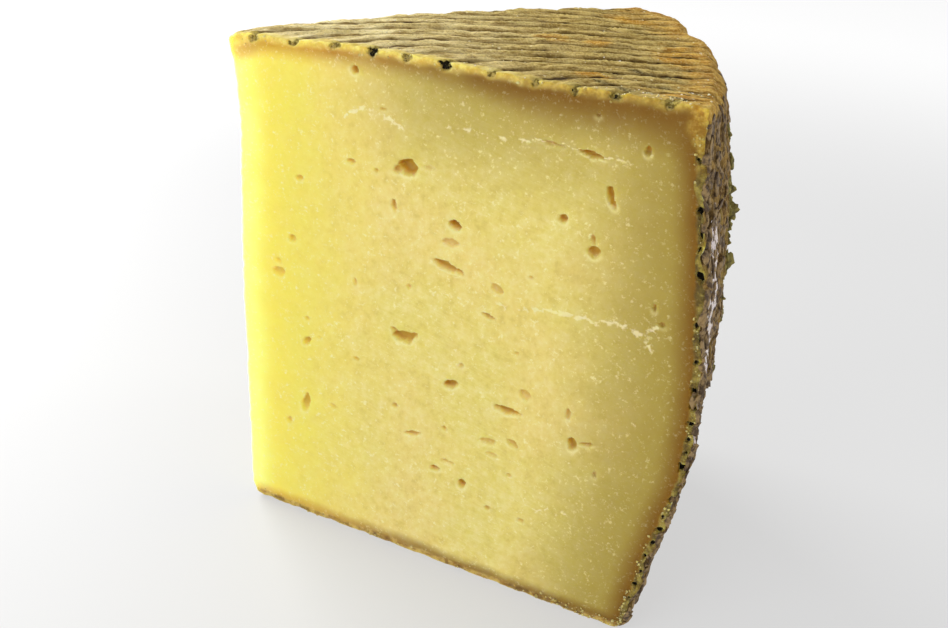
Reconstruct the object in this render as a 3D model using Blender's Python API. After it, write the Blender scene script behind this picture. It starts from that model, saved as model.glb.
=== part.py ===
"""A wedge cut from a wheel of aged, pressed cheese with a ridged natural rind.

The wheel is turned about the vertical line where its two cuts meet, with a belly in its side and a
slight bow on top. Its side keeps the print of a plaited belt, and its top the print of a ribbed
board. Two upright cuts meet at the tip. The paste that they bare is dotted with small eyes and slits.

Metres, +Z up. While it is built, the wheel's axis is the Z axis, the table is at zero, and the first
cut runs from the tip along +X and faces -Y. At the end the wedge is moved so that the origin is at
the middle of its bounding box on the table.
"""

import math
import random

import bmesh
import bpy
from mathutils import Matrix, Vector

BASE_RADIUS = 0.1000
RIM_RADIUS = 0.1012
HEIGHT = 0.118
OPENING = math.radians(53.1)
BELLY_RADIUS = 0.1074
BELLY_HEIGHT = 0.066
BELLY_POWER = 1.9
TOP_BOW = 0.0017
TOP_SHOULDER = 0.0036
BASE_SHOULDER = 0.0030
SHOULDER_STEPS = 3

TIP_SETBACK = 0.0006
TIP_LIP = 0.0018
TIP_LIP_HEIGHT = 0.024
TIP_LIP_REACH = 0.016
TIP_DROP = 0.0026
TIP_DROP_REACH = 0.008

# The wheel isn't quite true: its rim stands higher by the first cut and bulges near the second.
RIM_LIFT = 0.0022
RIM_LIFT_TURN = math.radians(10.0)
RIM_LIFT_START = 0.065
RIM_LIFT_RUN = 0.038
RIM_LIFT_HEIGHT = 0.008
RIM_BULGE = 0.0026
RIM_BULGE_ANGLE = math.radians(47.0)
RIM_BULGE_TURN = math.radians(8.5)
RIM_BULGE_START = 0.085
RIM_BULGE_RUN = 0.015
RIM_BULGE_HEIGHT = 0.022

BOARD_PITCH = 0.0048
BOARD_ANGLE = math.radians(33.0)
BOARD_GROOVE = 0.0013
BOARD_PHASE = -0.0030
BOARD_WAVE = 0.0004
BOARD_WAVE_LENGTH = 0.031
BOARD_STATION = 0.0105
# Where a ridge's profile changes, in parts of the pitch from one groove to the next, and how far
# below the crest it is there, in parts of the groove's depth.
RIDGE_PROFILE = ((0.0, 1.0), (0.27, 0.1), (0.73, 0.1))

BELT_PITCH = 0.0046
BELT_BAND = 0.0140
BELT_LEAN = 0.0052
BELT_GROOVE = 0.0010
BELT_FADE = 0.0100
STRAND_PROFILE = ((0.0, 1.0), (0.28, 0.15), (0.72, 0.15))
ROWS_PER_BAND = 2

SECTOR_MARGIN = math.radians(7.0)
COARSE_STEP = math.radians(12.0)

# Eyes of the first cut: distance from the axis, height, width, height of the eye, depth, and tilt in
# degrees, the sizes in millimetres.
MILLIMETRE = 0.001
FIRST_CUT_EYES = (
    (41.5, 96.0, 4.6, 3.8, 2.6, 0),
    (53.0, 86.0, 3.1, 2.1, 2.2, -10),
    (52.3, 82.0, 4.4, 1.9, 0.7, 5),
    (51.3, 76.5, 5.8, 2.1, 1.7, -12),
    (63.5, 74.4, 3.2, 2.0, 0.7, -30),
    (62.0, 67.7, 3.6, 1.1, 1.1, -15),
    (28.5, 114.0, 1.9, 1.8, 1.4, -30),
    (38.5, 87.0, 1.4, 2.9, 0.9, 10),
    (28.0, 94.5, 2.1, 1.2, 0.8, 0),
    (76.3, 93.0, 1.9, 1.8, 1.4, 15),
    (83.3, 87.7, 2.7, 2.6, 1.4, 0),
    (85.3, 100.0, 1.5, 3.8, 1.5, 12),
    (81.0, 107.0, 5.0, 1.3, 1.5, -6),
    (72.5, 107.5, 4.6, 0.9, 0.6, -3),
    (91.5, 110.0, 1.2, 1.8, 0.9, 0),
    (42.0, 57.0, 5.6, 3.0, 1.9, 6),
    (54.0, 48.9, 3.4, 2.2, 1.8, 22),
    (67.6, 46.7, 5.2, 1.9, 1.6, -4),
    (71.6, 51.8, 3.0, 2.4, 0.7, -20),
    (83.3, 43.7, 2.2, 3.2, 1.5, 8),
    (81.6, 50.4, 1.2, 3.4, 0.7, 6),
    (45.2, 33.3, 4.4, 1.3, 1.1, 16),
    (40.3, 39.0, 1.4, 1.4, 0.9, 0),
    (64.0, 37.5, 4.2, 2.0, 0.7, 8),
    (69.6, 39.0, 3.0, 1.7, 0.8, -25),
    (51.3, 26.0, 2.6, 1.4, 1.2, 12),
    (58.2, 24.3, 2.0, 2.4, 1.6, 0),
    (54.4, 28.8, 3.2, 1.2, 0.6, 0),
    (16.5, 48.6, 1.5, 2.6, 0.9, -35),
    (16.2, 31.8, 2.3, 5.4, 0.9, -12),
    (9.6, 64.2, 3.0, 2.4, 0.7, 0),
    (13.0, 73.3, 2.2, 2.0, 0.7, 0),
    (15.0, 88.0, 2.1, 1.5, 0.7, 0),
)
# Arms of the eyes that fork, with the same six values.
FIRST_CUT_ARMS = (
    (86.0, 98.3, 1.3, 2.2, 1.2, 30),
    (86.2, 44.6, 3.4, 1.0, 1.1, 14),
    (54.6, 76.0, 2.0, 1.2, 1.1, -20),
    (70.4, 46.8, 2.2, 0.9, 0.9, 0),
    (82.9, 90.2, 1.0, 2.6, 0.8, 20),
    (39.8, 57.9, 2.4, 1.4, 0.9, -20),
    (44.3, 57.9, 2.2, 1.5, 1.1, 30),
    (39.2, 95.0, 2.2, 1.8, 1.0, 20),
)
SECOND_CUT_EYES = 26
SECOND_CUT_SEED = 41
EYE_SHAPE_SEED = 7
SECOND_CUT_EDGE = 0.012
SECOND_CUT_SPACING = 0.008
EYE_ROUGHNESS = 0.10
FINE_EYE_WIDTH = 2.0
EYE_SINK = 0.12

PASTE_COLOUR = (0.66, 0.52, 0.14, 1.0)
PASTE_ROUGHNESS = 0.45


def smoothstep(value):
    value = min(max(value, 0.0), 1.0)
    return value * value * (3.0 - 2.0 * value)


def clear_scene():
    for obj in list(bpy.data.objects):
        bpy.data.objects.remove(obj, do_unlink=True)


def side_radius(height):
    """Radius of the wheel's belly at a height, before the belt's print."""
    end_radius, end_height = (BASE_RADIUS, 0.0) if height < BELLY_HEIGHT else (RIM_RADIUS, HEIGHT)
    part = (height - BELLY_HEIGHT) / (end_height - BELLY_HEIGHT)
    return BELLY_RADIUS - (BELLY_RADIUS - end_radius) * part**BELLY_POWER


def top_height(radius):
    """Height of the wheel's bowed top at a distance from the axis, at the crests of its ridges."""
    part = min(radius / RIM_RADIUS, 1.0)
    drop = TIP_DROP * (1.0 - smoothstep(radius / TIP_DROP_REACH))
    return HEIGHT + 4.0 * TOP_BOW * part * (1.0 - part) - drop


def belt_shift(height):
    """Sideways shift of the belt's strands: they lean one way in a band and the other way in the next."""
    phase = height / BELT_BAND % 2.0
    return BELT_LEAN * (phase if phase < 1.0 else 2.0 - phase)


def belt_strength(height):
    """The print fades towards the rims, where the belt did not press."""
    return smoothstep(height / BELT_FADE) * smoothstep((HEIGHT - TOP_SHOULDER - height) / BELT_FADE)


def wheel_profile():
    """Radius, height and belt strength of each ring of the wheel, from its foot to its top."""
    rings = []
    for step in range(SHOULDER_STEPS + 1):
        turn = 0.5 * math.pi * step / SHOULDER_STEPS
        inward = BASE_SHOULDER * (1.0 - math.sin(turn))
        rings.append((side_radius(0.0) - inward, BASE_SHOULDER * (1.0 - math.cos(turn)), 0.0))
    spacing = BELT_BAND / ROWS_PER_BAND
    row = 1
    while row * spacing < HEIGHT - TOP_SHOULDER:
        height = row * spacing
        if height > BASE_SHOULDER:
            rings.append((side_radius(height), height, belt_strength(height)))
        row += 1
    top = top_height(RIM_RADIUS)
    for step in range(SHOULDER_STEPS + 1):
        turn = 0.5 * math.pi * step / SHOULDER_STEPS
        height = top - TOP_SHOULDER * (1.0 - math.sin(turn))
        inward = TOP_SHOULDER * (1.0 - math.cos(turn))
        rings.append((side_radius(height) - inward, height, 0.0))
    rings.append((RIM_RADIUS * 0.5, top_height(RIM_RADIUS * 0.5) + BOARD_GROOVE, 0.0))
    return rings


def wheel_columns():
    """Angle of each column of the wheel, with the strand's drop there: fine in the wedge's sector."""
    columns = []
    strand = math.floor(-SECTOR_MARGIN * BELLY_RADIUS / BELT_PITCH)
    while strand * BELT_PITCH / BELLY_RADIUS < OPENING + SECTOR_MARGIN:
        for part, drop in STRAND_PROFILE:
            columns.append(((strand + part) * BELT_PITCH / BELLY_RADIUS, drop))
        strand += 1
    angle = columns[-1][0] + COARSE_STEP
    last = columns[0][0] + 2.0 * math.pi - 0.5 * COARSE_STEP
    while angle < last:
        columns.append((angle, 0.0))
        angle += COARSE_STEP
    return columns


def build_wheel():
    """The whole wheel with the belt's print, closed by a fan at its foot and one at its top."""
    rings = wheel_profile()
    columns = wheel_columns()
    bm = bmesh.new()
    grid = []
    for radius, height, strength in rings:
        shift = (belt_shift(height) - 0.5 * BELT_LEAN) / BELLY_RADIUS * min(1.0, 4.0 * strength)
        ring = []
        for angle, drop in columns:
            printed = radius - BELT_GROOVE * drop * strength
            turned = angle + shift
            ring.append(bm.verts.new((printed * math.cos(turned), printed * math.sin(turned), height)))
        grid.append(ring)
    count = len(columns)
    for lower, upper in zip(grid, grid[1:]):
        for left in range(count):
            right = (left + 1) % count
            bm.faces.new((lower[left], lower[right], upper[right], upper[left]))
    foot = bm.verts.new((0.0, 0.0, 0.0))
    crown = bm.verts.new((0.0, 0.0, top_height(0.0) + BOARD_GROOVE))
    for left in range(count):
        right = (left + 1) % count
        bm.faces.new((grid[0][right], grid[0][left], foot))
        bm.faces.new((grid[-1][left], grid[-1][right], crown))
    return bm


def cut_wedge(bm):
    """Keeps what lies between the two upright cuts, which meet at the tip."""
    tip = Vector((-TIP_SETBACK, 0.0, 0.0))
    first_normal = Vector((0.0, -1.0, 0.0))
    second_normal = Vector((-math.sin(OPENING), math.cos(OPENING), 0.0))
    for normal in (first_normal, second_normal):
        geometry = bm.verts[:] + bm.edges[:] + bm.faces[:]
        bmesh.ops.bisect_plane(bm, geom=geometry, dist=1e-7, plane_co=tip, plane_no=normal, clear_outer=True)
        rim = [edge for edge in bm.edges if edge.is_boundary]
        bmesh.ops.holes_fill(bm, edges=rim, sides=0)
    bmesh.ops.recalc_face_normals(bm, faces=bm.faces[:])


def board_wave(along):
    """Sideways wander of the board's ribs."""
    return BOARD_WAVE * math.sin(2.0 * math.pi * along / BOARD_WAVE_LENGTH)


def build_board_print():
    """A block whose upper face is the bowed top with the ribbed board's print, wider than the wedge."""
    reach = BELLY_RADIUS + BOARD_PITCH
    across_low = -reach * math.sin(BOARD_ANGLE) - BOARD_PITCH
    across_high = reach * math.sin(OPENING - BOARD_ANGLE) + BOARD_PITCH
    along_low = -2.0 * TIP_SETBACK - BOARD_PITCH
    stations = math.ceil((reach + BOARD_PITCH - along_low) / BOARD_STATION)
    along_axis = Vector((math.cos(BOARD_ANGLE), math.sin(BOARD_ANGLE)))
    across_axis = Vector((-math.sin(BOARD_ANGLE), math.cos(BOARD_ANGLE)))

    lines = []
    rib = math.floor((across_low - BOARD_PHASE) / BOARD_PITCH)
    while BOARD_PHASE + rib * BOARD_PITCH < across_high:
        for part, drop in RIDGE_PROFILE:
            lines.append((BOARD_PHASE + (rib + part) * BOARD_PITCH, drop))
        rib += 1

    bm = bmesh.new()
    upper = []
    lower = []
    for across, drop in lines:
        upper_line = []
        lower_line = []
        for station in range(stations + 1):
            along = along_low + station * BOARD_STATION
            place = along_axis * along + across_axis * (across + board_wave(along))
            height = top_height(place.length) - BOARD_GROOVE * drop
            upper_line.append(bm.verts.new((place.x, place.y, height)))
            lower_line.append(bm.verts.new((place.x, place.y, -HEIGHT)))
        upper.append(upper_line)
        lower.append(lower_line)
    last = len(lines) - 1
    for line in range(last):
        for station in range(stations):
            a, b = upper[line][station], upper[line][station + 1]
            c, d = upper[line + 1][station + 1], upper[line + 1][station]
            bm.faces.new((a, b, c))
            bm.faces.new((a, c, d))
    for station in range(stations):
        bm.faces.new((upper[0][station + 1], upper[0][station], lower[0][station], lower[0][station + 1]))
        bm.faces.new((upper[last][station], upper[last][station + 1], lower[last][station + 1],
                      lower[last][station]))
    for line in range(last):
        bm.faces.new((upper[line][0], upper[line + 1][0], lower[line + 1][0], lower[line][0]))
        bm.faces.new((upper[line + 1][-1], upper[line][-1], lower[line][-1], lower[line + 1][-1]))
    rim = [lower[0][station] for station in range(stations + 1)]
    rim += [lower[line][-1] for line in range(1, last + 1)]
    rim += [lower[last][station] for station in range(stations - 1, -1, -1)]
    rim += [lower[line][0] for line in range(last - 1, 0, -1)]
    bm.faces.new(rim[::-1])
    bmesh.ops.recalc_face_normals(bm, faces=bm.faces[:])
    return bm


def first_cut_place(along, height):
    """Place on the first cut. Its local -Y axis points out of the cheese."""
    return Matrix.Translation((along, 0.0, height))


def second_cut_place(along, height):
    """Place on the second cut, turned so that its local -Y axis points out of the cheese."""
    tip = Matrix.Translation((-TIP_SETBACK, 0.0, 0.0))
    turned = Matrix.Rotation(OPENING, 4, "Z") @ Matrix.Translation((along, 0.0, height))
    return tip @ turned @ Matrix.Rotation(math.pi, 4, "Z")


def add_eye(bm, place, width, height, depth, tilt, rng):
    """One eye: a rough ellipsoid with its middle just under the cut. Sizes are in millimetres."""
    sink = EYE_SINK * depth * MILLIMETRE
    size = Matrix.Diagonal((0.5 * width * MILLIMETRE, depth * MILLIMETRE, 0.5 * height * MILLIMETRE, 1.0))
    turn = Matrix.Rotation(-math.radians(tilt), 4, "Y")
    fine = 2 if max(width, height) > FINE_EYE_WIDTH else 1
    matrix = place @ Matrix.Translation((0.0, sink, 0.0)) @ turn @ size
    ball = bmesh.ops.create_icosphere(bm, subdivisions=fine, radius=1.0)
    for vert in ball["verts"]:
        vert.co = matrix @ (vert.co * (1.0 + rng.uniform(-EYE_ROUGHNESS, EYE_ROUGHNESS)))


def second_cut_eyes():
    """Eyes of the second cut, spread at random with the sizes of the first cut's eyes."""
    rng = random.Random(SECOND_CUT_SEED)
    eyes = []
    while len(eyes) < SECOND_CUT_EYES:
        along = rng.uniform(SECOND_CUT_EDGE, RIM_RADIUS - SECOND_CUT_EDGE)
        height = rng.uniform(SECOND_CUT_EDGE, HEIGHT - SECOND_CUT_EDGE)
        apart = [math.hypot(along - eye[0], height - eye[1]) for eye in eyes]
        if min(apart, default=1.0) < SECOND_CUT_SPACING:
            continue
        size = FIRST_CUT_EYES[len(eyes) % len(FIRST_CUT_EYES)][2:]
        eyes.append((along, height) + size)
    return eyes


def build_eyes():
    """Two cutters: the eyes of both cuts, and the arms that fork from some of the first."""
    rng = random.Random(EYE_SHAPE_SEED)
    eyes = bmesh.new()
    for along, height, width, tall, depth, tilt in FIRST_CUT_EYES:
        place = first_cut_place(along * MILLIMETRE, height * MILLIMETRE)
        add_eye(eyes, place, width, tall, depth, tilt, rng)
    for along, height, width, tall, depth, tilt in second_cut_eyes():
        add_eye(eyes, second_cut_place(along, height), width, tall, depth, tilt, rng)
    arms = bmesh.new()
    for along, height, width, tall, depth, tilt in FIRST_CUT_ARMS:
        place = first_cut_place(along * MILLIMETRE, height * MILLIMETRE)
        add_eye(arms, place, width, tall, depth, tilt, rng)
    return eyes, arms


def object_from(bm, name):
    mesh = bpy.data.meshes.new(name)
    bm.to_mesh(mesh)
    bm.free()
    obj = bpy.data.objects.new(name, mesh)
    bpy.context.scene.collection.objects.link(obj)
    return obj


def apply_boolean(target, cutter, operation):
    """Applies one Boolean to the target's mesh and removes the cutter."""
    modifier = target.modifiers.new(operation.title(), "BOOLEAN")
    modifier.operation = operation
    modifier.solver = "EXACT"
    modifier.object = cutter
    graph = bpy.context.evaluated_depsgraph_get()
    mesh = bpy.data.meshes.new_from_object(target.evaluated_get(graph))
    target.modifiers.clear()
    target.data = mesh
    bpy.data.objects.remove(cutter, do_unlink=True)


def lean_tip(mesh):
    """Draws the top of the tip out into the small lip that the knife left."""
    for vert in mesh.vertices:
        rise = smoothstep((vert.co.z - (HEIGHT - TIP_LIP_HEIGHT)) / TIP_LIP_HEIGHT)
        near = 1.0 - smoothstep(vert.co.xy.length / TIP_LIP_REACH)
        vert.co.x -= TIP_LIP * rise * near


def swell_rim(mesh):
    """Lifts the top rim by the first cut, and draws it outwards near the second."""
    for vert in mesh.vertices:
        radius = vert.co.xy.length
        angle = math.atan2(vert.co.y, vert.co.x)
        beside = 1.0 - smoothstep(angle / RIM_LIFT_TURN)
        near = beside * smoothstep((radius - RIM_LIFT_START) / RIM_LIFT_RUN)
        lift = RIM_LIFT * near * smoothstep((vert.co.z - (HEIGHT - RIM_LIFT_HEIGHT)) / RIM_LIFT_HEIGHT)
        away = 1.0 - smoothstep(abs(angle - RIM_BULGE_ANGLE) / RIM_BULGE_TURN)
        far = away * smoothstep((radius - RIM_BULGE_START) / RIM_BULGE_RUN)
        bulge = RIM_BULGE * far * smoothstep((vert.co.z - (HEIGHT - RIM_BULGE_HEIGHT)) / RIM_BULGE_HEIGHT)
        vert.co.x += bulge * math.cos(angle)
        vert.co.y += bulge * math.sin(angle)
        vert.co.z += lift


def centre(mesh):
    """Moves the middle of the bounding box's foot to the origin."""
    lows = [min(vert.co[axis] for vert in mesh.vertices) for axis in range(3)]
    highs = [max(vert.co[axis] for vert in mesh.vertices) for axis in range(3)]
    middle = Vector(((lows[0] + highs[0]) / 2.0, (lows[1] + highs[1]) / 2.0, lows[2]))
    mesh.transform(Matrix.Translation(-middle))


def cheese_material():
    material = bpy.data.materials.new("cheese")
    material.use_nodes = True
    shader = material.node_tree.nodes["Principled BSDF"]
    shader.inputs["Base Color"].default_value = PASTE_COLOUR
    shader.inputs["Roughness"].default_value = PASTE_ROUGHNESS
    shader.inputs["Metallic"].default_value = 0.0
    return material


def triangulate(obj):
    bm = bmesh.new()
    bm.from_mesh(obj.data)
    bmesh.ops.triangulate(bm, faces=bm.faces[:])
    bm.to_mesh(obj.data)
    bm.free()


def build_wedge():
    wheel = build_wheel()
    cut_wedge(wheel)
    wedge = object_from(wheel, "cheese_wedge")
    apply_boolean(wedge, object_from(build_board_print(), "board_print"), "INTERSECT")
    eyes, arms = build_eyes()
    apply_boolean(wedge, object_from(eyes, "eyes"), "DIFFERENCE")
    apply_boolean(wedge, object_from(arms, "arms"), "DIFFERENCE")
    triangulate(wedge)
    lean_tip(wedge.data)
    swell_rim(wedge.data)
    centre(wedge.data)
    wedge.data.materials.clear()
    wedge.data.materials.append(cheese_material())


clear_scene()
build_wedge()
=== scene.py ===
"""Looks of the aged cheese wedge: a fine mesh in place of the solid, its crumbs and flakes, light, camera.

The fine mesh is built in the wheel's own millimetres, as the solid was. The wheel's axis is the Z axis,
the table is at zero, and the first cut runs from the tip along +X and faces -Y. It starts as a plain
sector of the wheel, is refined where the detail is, and is then bent by fields that act on the whole
volume, so that the faces stay joined along their edges. The same fields go onto the mesh as masks, and
the materials are mixed from them. At the end it is moved into the frame of the solid.
"""

import math
import random

import bmesh
import bpy
import numpy as np
from mathutils import Matrix, Vector


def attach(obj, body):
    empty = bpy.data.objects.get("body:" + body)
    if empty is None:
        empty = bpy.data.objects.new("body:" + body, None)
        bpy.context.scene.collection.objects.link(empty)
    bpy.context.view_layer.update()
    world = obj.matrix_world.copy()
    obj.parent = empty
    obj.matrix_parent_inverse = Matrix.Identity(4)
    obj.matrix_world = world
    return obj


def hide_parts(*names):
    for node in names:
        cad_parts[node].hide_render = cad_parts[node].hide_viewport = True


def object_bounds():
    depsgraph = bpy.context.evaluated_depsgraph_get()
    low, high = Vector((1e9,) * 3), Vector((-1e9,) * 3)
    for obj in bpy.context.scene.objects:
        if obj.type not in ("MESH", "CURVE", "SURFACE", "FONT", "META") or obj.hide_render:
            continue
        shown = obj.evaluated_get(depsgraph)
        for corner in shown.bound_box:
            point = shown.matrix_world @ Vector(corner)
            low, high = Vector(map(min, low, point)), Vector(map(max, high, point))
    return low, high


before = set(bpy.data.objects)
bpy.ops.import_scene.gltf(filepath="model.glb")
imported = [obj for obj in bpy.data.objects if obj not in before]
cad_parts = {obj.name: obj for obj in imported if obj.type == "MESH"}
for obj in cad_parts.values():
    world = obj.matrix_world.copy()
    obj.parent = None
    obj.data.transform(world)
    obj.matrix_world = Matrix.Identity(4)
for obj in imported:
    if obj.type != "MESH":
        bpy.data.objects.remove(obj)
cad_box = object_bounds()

BODY = "root"
NODE = "cheese_wedge"
MM = 0.001

# The wheel and its cuts, in millimetres, as in the solid.
BASE_RADIUS = 100.0
RIM_RADIUS = 101.2
HEIGHT = 118.0
OPENING = math.radians(53.1)
BELLY_RADIUS = 107.4
BELLY_HEIGHT = 66.0
BELLY_POWER = 1.9
TOP_BOW = 1.7
TOP_SHOULDER = 3.6
BASE_SHOULDER = 3.0
# The top shoulder is sharper by the first cut and a little sharper by the second.
CUT_SHOULDER = 0.8
FAR_SHOULDER = 2.5
CUT_SHOULDER_ENDS = math.radians(4.0), math.radians(10.0)
FAR_SHOULDER_STARTS = math.radians(38.0), math.radians(42.0)
# The notch where a groove of the board leaves the rim.
NOTCH_ANGLE = math.radians(39.3)
NOTCH_TURN = math.radians(1.3)
NOTCH_DEPTH = 1.5
# The tip, which is a little off the axis: the lip at its top, and the drop of the top rind there.
TIP_SETBACK = 0.6
TIP_LIP = 1.8
TIP_LIP_HEIGHT = 24.0
TIP_LIP_REACH = 16.0
TIP_DROP = 2.6
TIP_DROP_REACH = 8.0
# The rim's lift by the first cut and its bulge near the second.
RIM_LIFT = 2.2
RIM_LIFT_TURN = math.radians(10.0)
RIM_LIFT_START = 65.0
RIM_LIFT_RUN = 38.0
RIM_LIFT_HEIGHT = 8.0
RIM_BULGE = 2.6
RIM_BULGE_ANGLE = math.radians(47.0)
RIM_BULGE_TURN = math.radians(8.5)
RIM_BULGE_START = 85.0
RIM_BULGE_RUN = 15.0
RIM_BULGE_HEIGHT = 22.0
# Smaller swellings of the rim: middle, half turn, outward swell, and how far down from the top it runs.
RIM_LOBES = (
    (math.radians(0.0), math.radians(8.0), 0.8, 6.0),
    (math.radians(34.0), math.radians(7.0), 2.1, 12.0),
    (math.radians(46.0), math.radians(7.0), 1.1, 10.0),
)
# Below the belly the side stands out at the first cut and is a little hollow behind that edge.
LOW_FLARE = 2.1
LOW_FLARE_HEIGHTS = 16.0, 46.0, 90.0
LOW_FLARE_TURN = math.radians(7.0)
LOW_HOLLOW = 1.5
LOW_HOLLOW_TOP = 60.0
LOW_HOLLOW_RUN = 34.0
LOW_HOLLOW_TURNS = math.radians(3.0), math.radians(13.0), math.radians(34.0)
# The top of the tip: its raised end, and the low stretch of the cut's edge after it.
TIP_RAISE = 1.4
TIP_RAISE_REACH = 7.0
TIP_DIP = 0.7
TIP_DIP_REACHES = 3.0, 10.0, 26.0
# The tip's slight bow outwards between its foot and its lip.
TIP_BOW = 0.8
TIP_BOW_REACH = 22.0
TIP_BOW_HEIGHTS = 8.0, 62.0, 112.0
# The rind's lip at the very top of the tip, and how blunt the tip's edge is.
TIP_RIND_LIP = 1.3
TIP_RIND_LIP_HEIGHT = 5.0
TIP_RIND_LIP_REACH = 7.0
TIP_BLUNT = 0.3
TIP_BLUNT_REACH = 1.3

# The print of the ribbed board in the top rind.
BOARD_PITCH = 4.8
BOARD_ANGLE = math.radians(33.0)
BOARD_GROOVE = 1.3
BOARD_PHASE = -3.0
BOARD_WAVE = 0.4
BOARD_WAVE_LENGTH = 31.0
# The ribs bend as they leave the first cut, and spread a little farther in.
BOARD_BEND = 2.7
BOARD_BEND_REACH = 8.0
BOARD_SPREAD = 0.03

# The print of the plaited belt in the side rind.
BELT_PITCH = 4.6
BELT_BAND = 14.0
BELT_LEAN = 5.2
BELT_GROOVE = 1.0
BELT_FADE = 10.0

# Eyes of the first cut: distance from the axis, height, width, height of the eye, depth, and tilt in
# degrees. These are the ones in the solid.
FIRST_CUT_EYES = (
    (41.5, 96.0, 4.6, 3.8, 2.6, 0),
    (53.0, 86.0, 3.1, 2.1, 2.2, -10),
    (52.3, 82.0, 4.4, 1.9, 0.7, 5),
    (51.3, 76.5, 5.8, 2.1, 1.7, -12),
    (63.5, 74.4, 3.2, 2.0, 0.7, -30),
    (62.0, 67.7, 3.6, 1.1, 1.1, -15),
    (28.5, 114.0, 1.9, 1.8, 1.4, -30),
    (38.5, 87.0, 1.4, 2.9, 0.9, 10),
    (28.0, 94.5, 2.1, 1.2, 0.8, 0),
    (76.3, 93.0, 1.9, 1.8, 1.4, 15),
    (83.3, 87.7, 2.7, 2.6, 1.4, 0),
    (85.3, 100.0, 1.5, 3.8, 1.5, 12),
    (81.0, 107.0, 5.0, 1.3, 1.5, -6),
    (72.5, 107.5, 4.6, 0.9, 0.6, -3),
    (91.5, 110.0, 1.2, 1.8, 0.9, 0),
    (42.0, 57.0, 5.6, 3.0, 1.9, 6),
    (54.0, 48.9, 3.4, 2.2, 1.8, 22),
    (67.6, 46.7, 5.2, 1.9, 1.6, -4),
    (71.6, 51.8, 3.0, 2.4, 0.7, -20),
    (83.3, 43.7, 2.2, 3.2, 1.5, 8),
    (81.6, 50.4, 1.2, 3.4, 0.7, 6),
    (45.2, 33.3, 4.4, 1.3, 1.1, 16),
    (40.3, 39.0, 1.4, 1.4, 0.9, 0),
    (64.0, 37.5, 4.2, 2.0, 0.7, 8),
    (69.6, 39.0, 3.0, 1.7, 0.8, -25),
    (51.3, 26.0, 2.6, 1.4, 1.2, 12),
    (58.2, 24.3, 2.0, 2.4, 1.6, 0),
    (54.4, 28.8, 3.2, 1.2, 0.6, 0),
    (16.5, 48.6, 1.5, 2.6, 0.9, -35),
    (16.2, 31.8, 2.3, 5.4, 0.9, -12),
    (9.6, 64.2, 3.0, 2.4, 0.7, 0),
    (13.0, 73.3, 2.2, 2.0, 0.7, 0),
    (15.0, 88.0, 2.1, 1.5, 0.7, 0),
)
FIRST_CUT_ARMS = (
    (86.0, 98.3, 1.3, 2.2, 1.2, 30),
    (86.2, 44.6, 3.4, 1.0, 1.1, 14),
    (54.6, 76.0, 2.0, 1.2, 1.1, -20),
    (70.4, 46.8, 2.2, 0.9, 0.9, 0),
    (82.9, 90.2, 1.0, 2.6, 0.8, 20),
    (39.8, 57.9, 2.4, 1.4, 0.9, -20),
    (44.3, 57.9, 2.2, 1.5, 1.1, 30),
    (39.2, 95.0, 2.2, 1.8, 1.0, 20),
)
# Pinholes of the first cut, too small for the solid, with the same six values.
FIRST_CUT_PINHOLES = (
    (34.0, 93.7, 1.1, 1.0, 0.7, 0),
    (81.3, 114.3, 0.9, 0.8, 0.6, 0),
    (46.5, 97.0, 2.5, 1.0, 0.4, 5),
    (53.0, 37.3, 1.5, 1.2, 0.8, 0),
    (65.0, 34.5, 3.0, 1.1, 0.5, -5),
    (65.0, 20.3, 1.4, 1.2, 0.8, 20),
    (73.3, 20.0, 1.3, 1.0, 0.8, 0),
    (69.5, 30.7, 1.1, 1.0, 0.6, 0),
    (29.3, 67.0, 1.0, 1.5, 0.6, 10),
    (30.0, 48.0, 1.5, 1.2, 0.6, 0),
    (16.8, 54.5, 1.3, 1.1, 0.6, 0),
    (20.0, 50.5, 1.1, 1.0, 0.5, 0),
    (23.8, 33.5, 2.0, 1.2, 0.5, -20),
    (11.5, 25.5, 1.5, 2.0, 0.6, 0),
    (56.3, 54.3, 1.1, 1.0, 0.7, 0),
    (42.8, 69.5, 1.3, 1.1, 0.6, 0),
    (35.5, 107.2, 1.3, 0.7, 0.5, 0),
    (96.5, 79.5, 0.9, 1.6, 0.8, 0),
    (98.3, 76.3, 1.3, 1.1, 0.7, 0),
    (69.0, 61.0, 0.9, 0.9, 0.6, 0),
    (70.8, 79.0, 0.9, 0.9, 0.6, 0),
    (89.0, 38.0, 0.9, 1.5, 0.6, 0),
    (9.5, 67.0, 1.6, 1.4, 0.5, 0),
)
SECOND_CUT_EYES = 26
SECOND_CUT_SEED = 41
SECOND_CUT_EDGE = 12.0
SECOND_CUT_SPACING = 8.0

# Pale cracks of the first cut: half width, then points along it as (distance from the axis, height).
FIRST_CUT_CRACKS = (
    (0.6, ((74.0, 72.5), (80.0, 73.2), (85.0, 73.0), (90.0, 74.2), (94.0, 73.2), (98.0, 76.0))),
    (0.3, ((48.0, 70.0), (56.0, 70.0), (64.0, 70.8), (74.0, 72.5))),
    (0.25, ((49.5, 107.0), (59.5, 106.0), (70.0, 107.6))),
    (0.4, ((92.0, 73.8), (95.5, 71.5), (97.0, 69.8))),
    (0.5, ((26.0, 104.0), (29.5, 106.0), (33.0, 106.3), (40.0, 104.2))),
    (0.3, ((70.0, 107.8), (79.0, 107.4), (88.0, 106.8))),
    (0.3, ((77.0, 24.0), (80.0, 26.2), (84.0, 25.4))),
)
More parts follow.
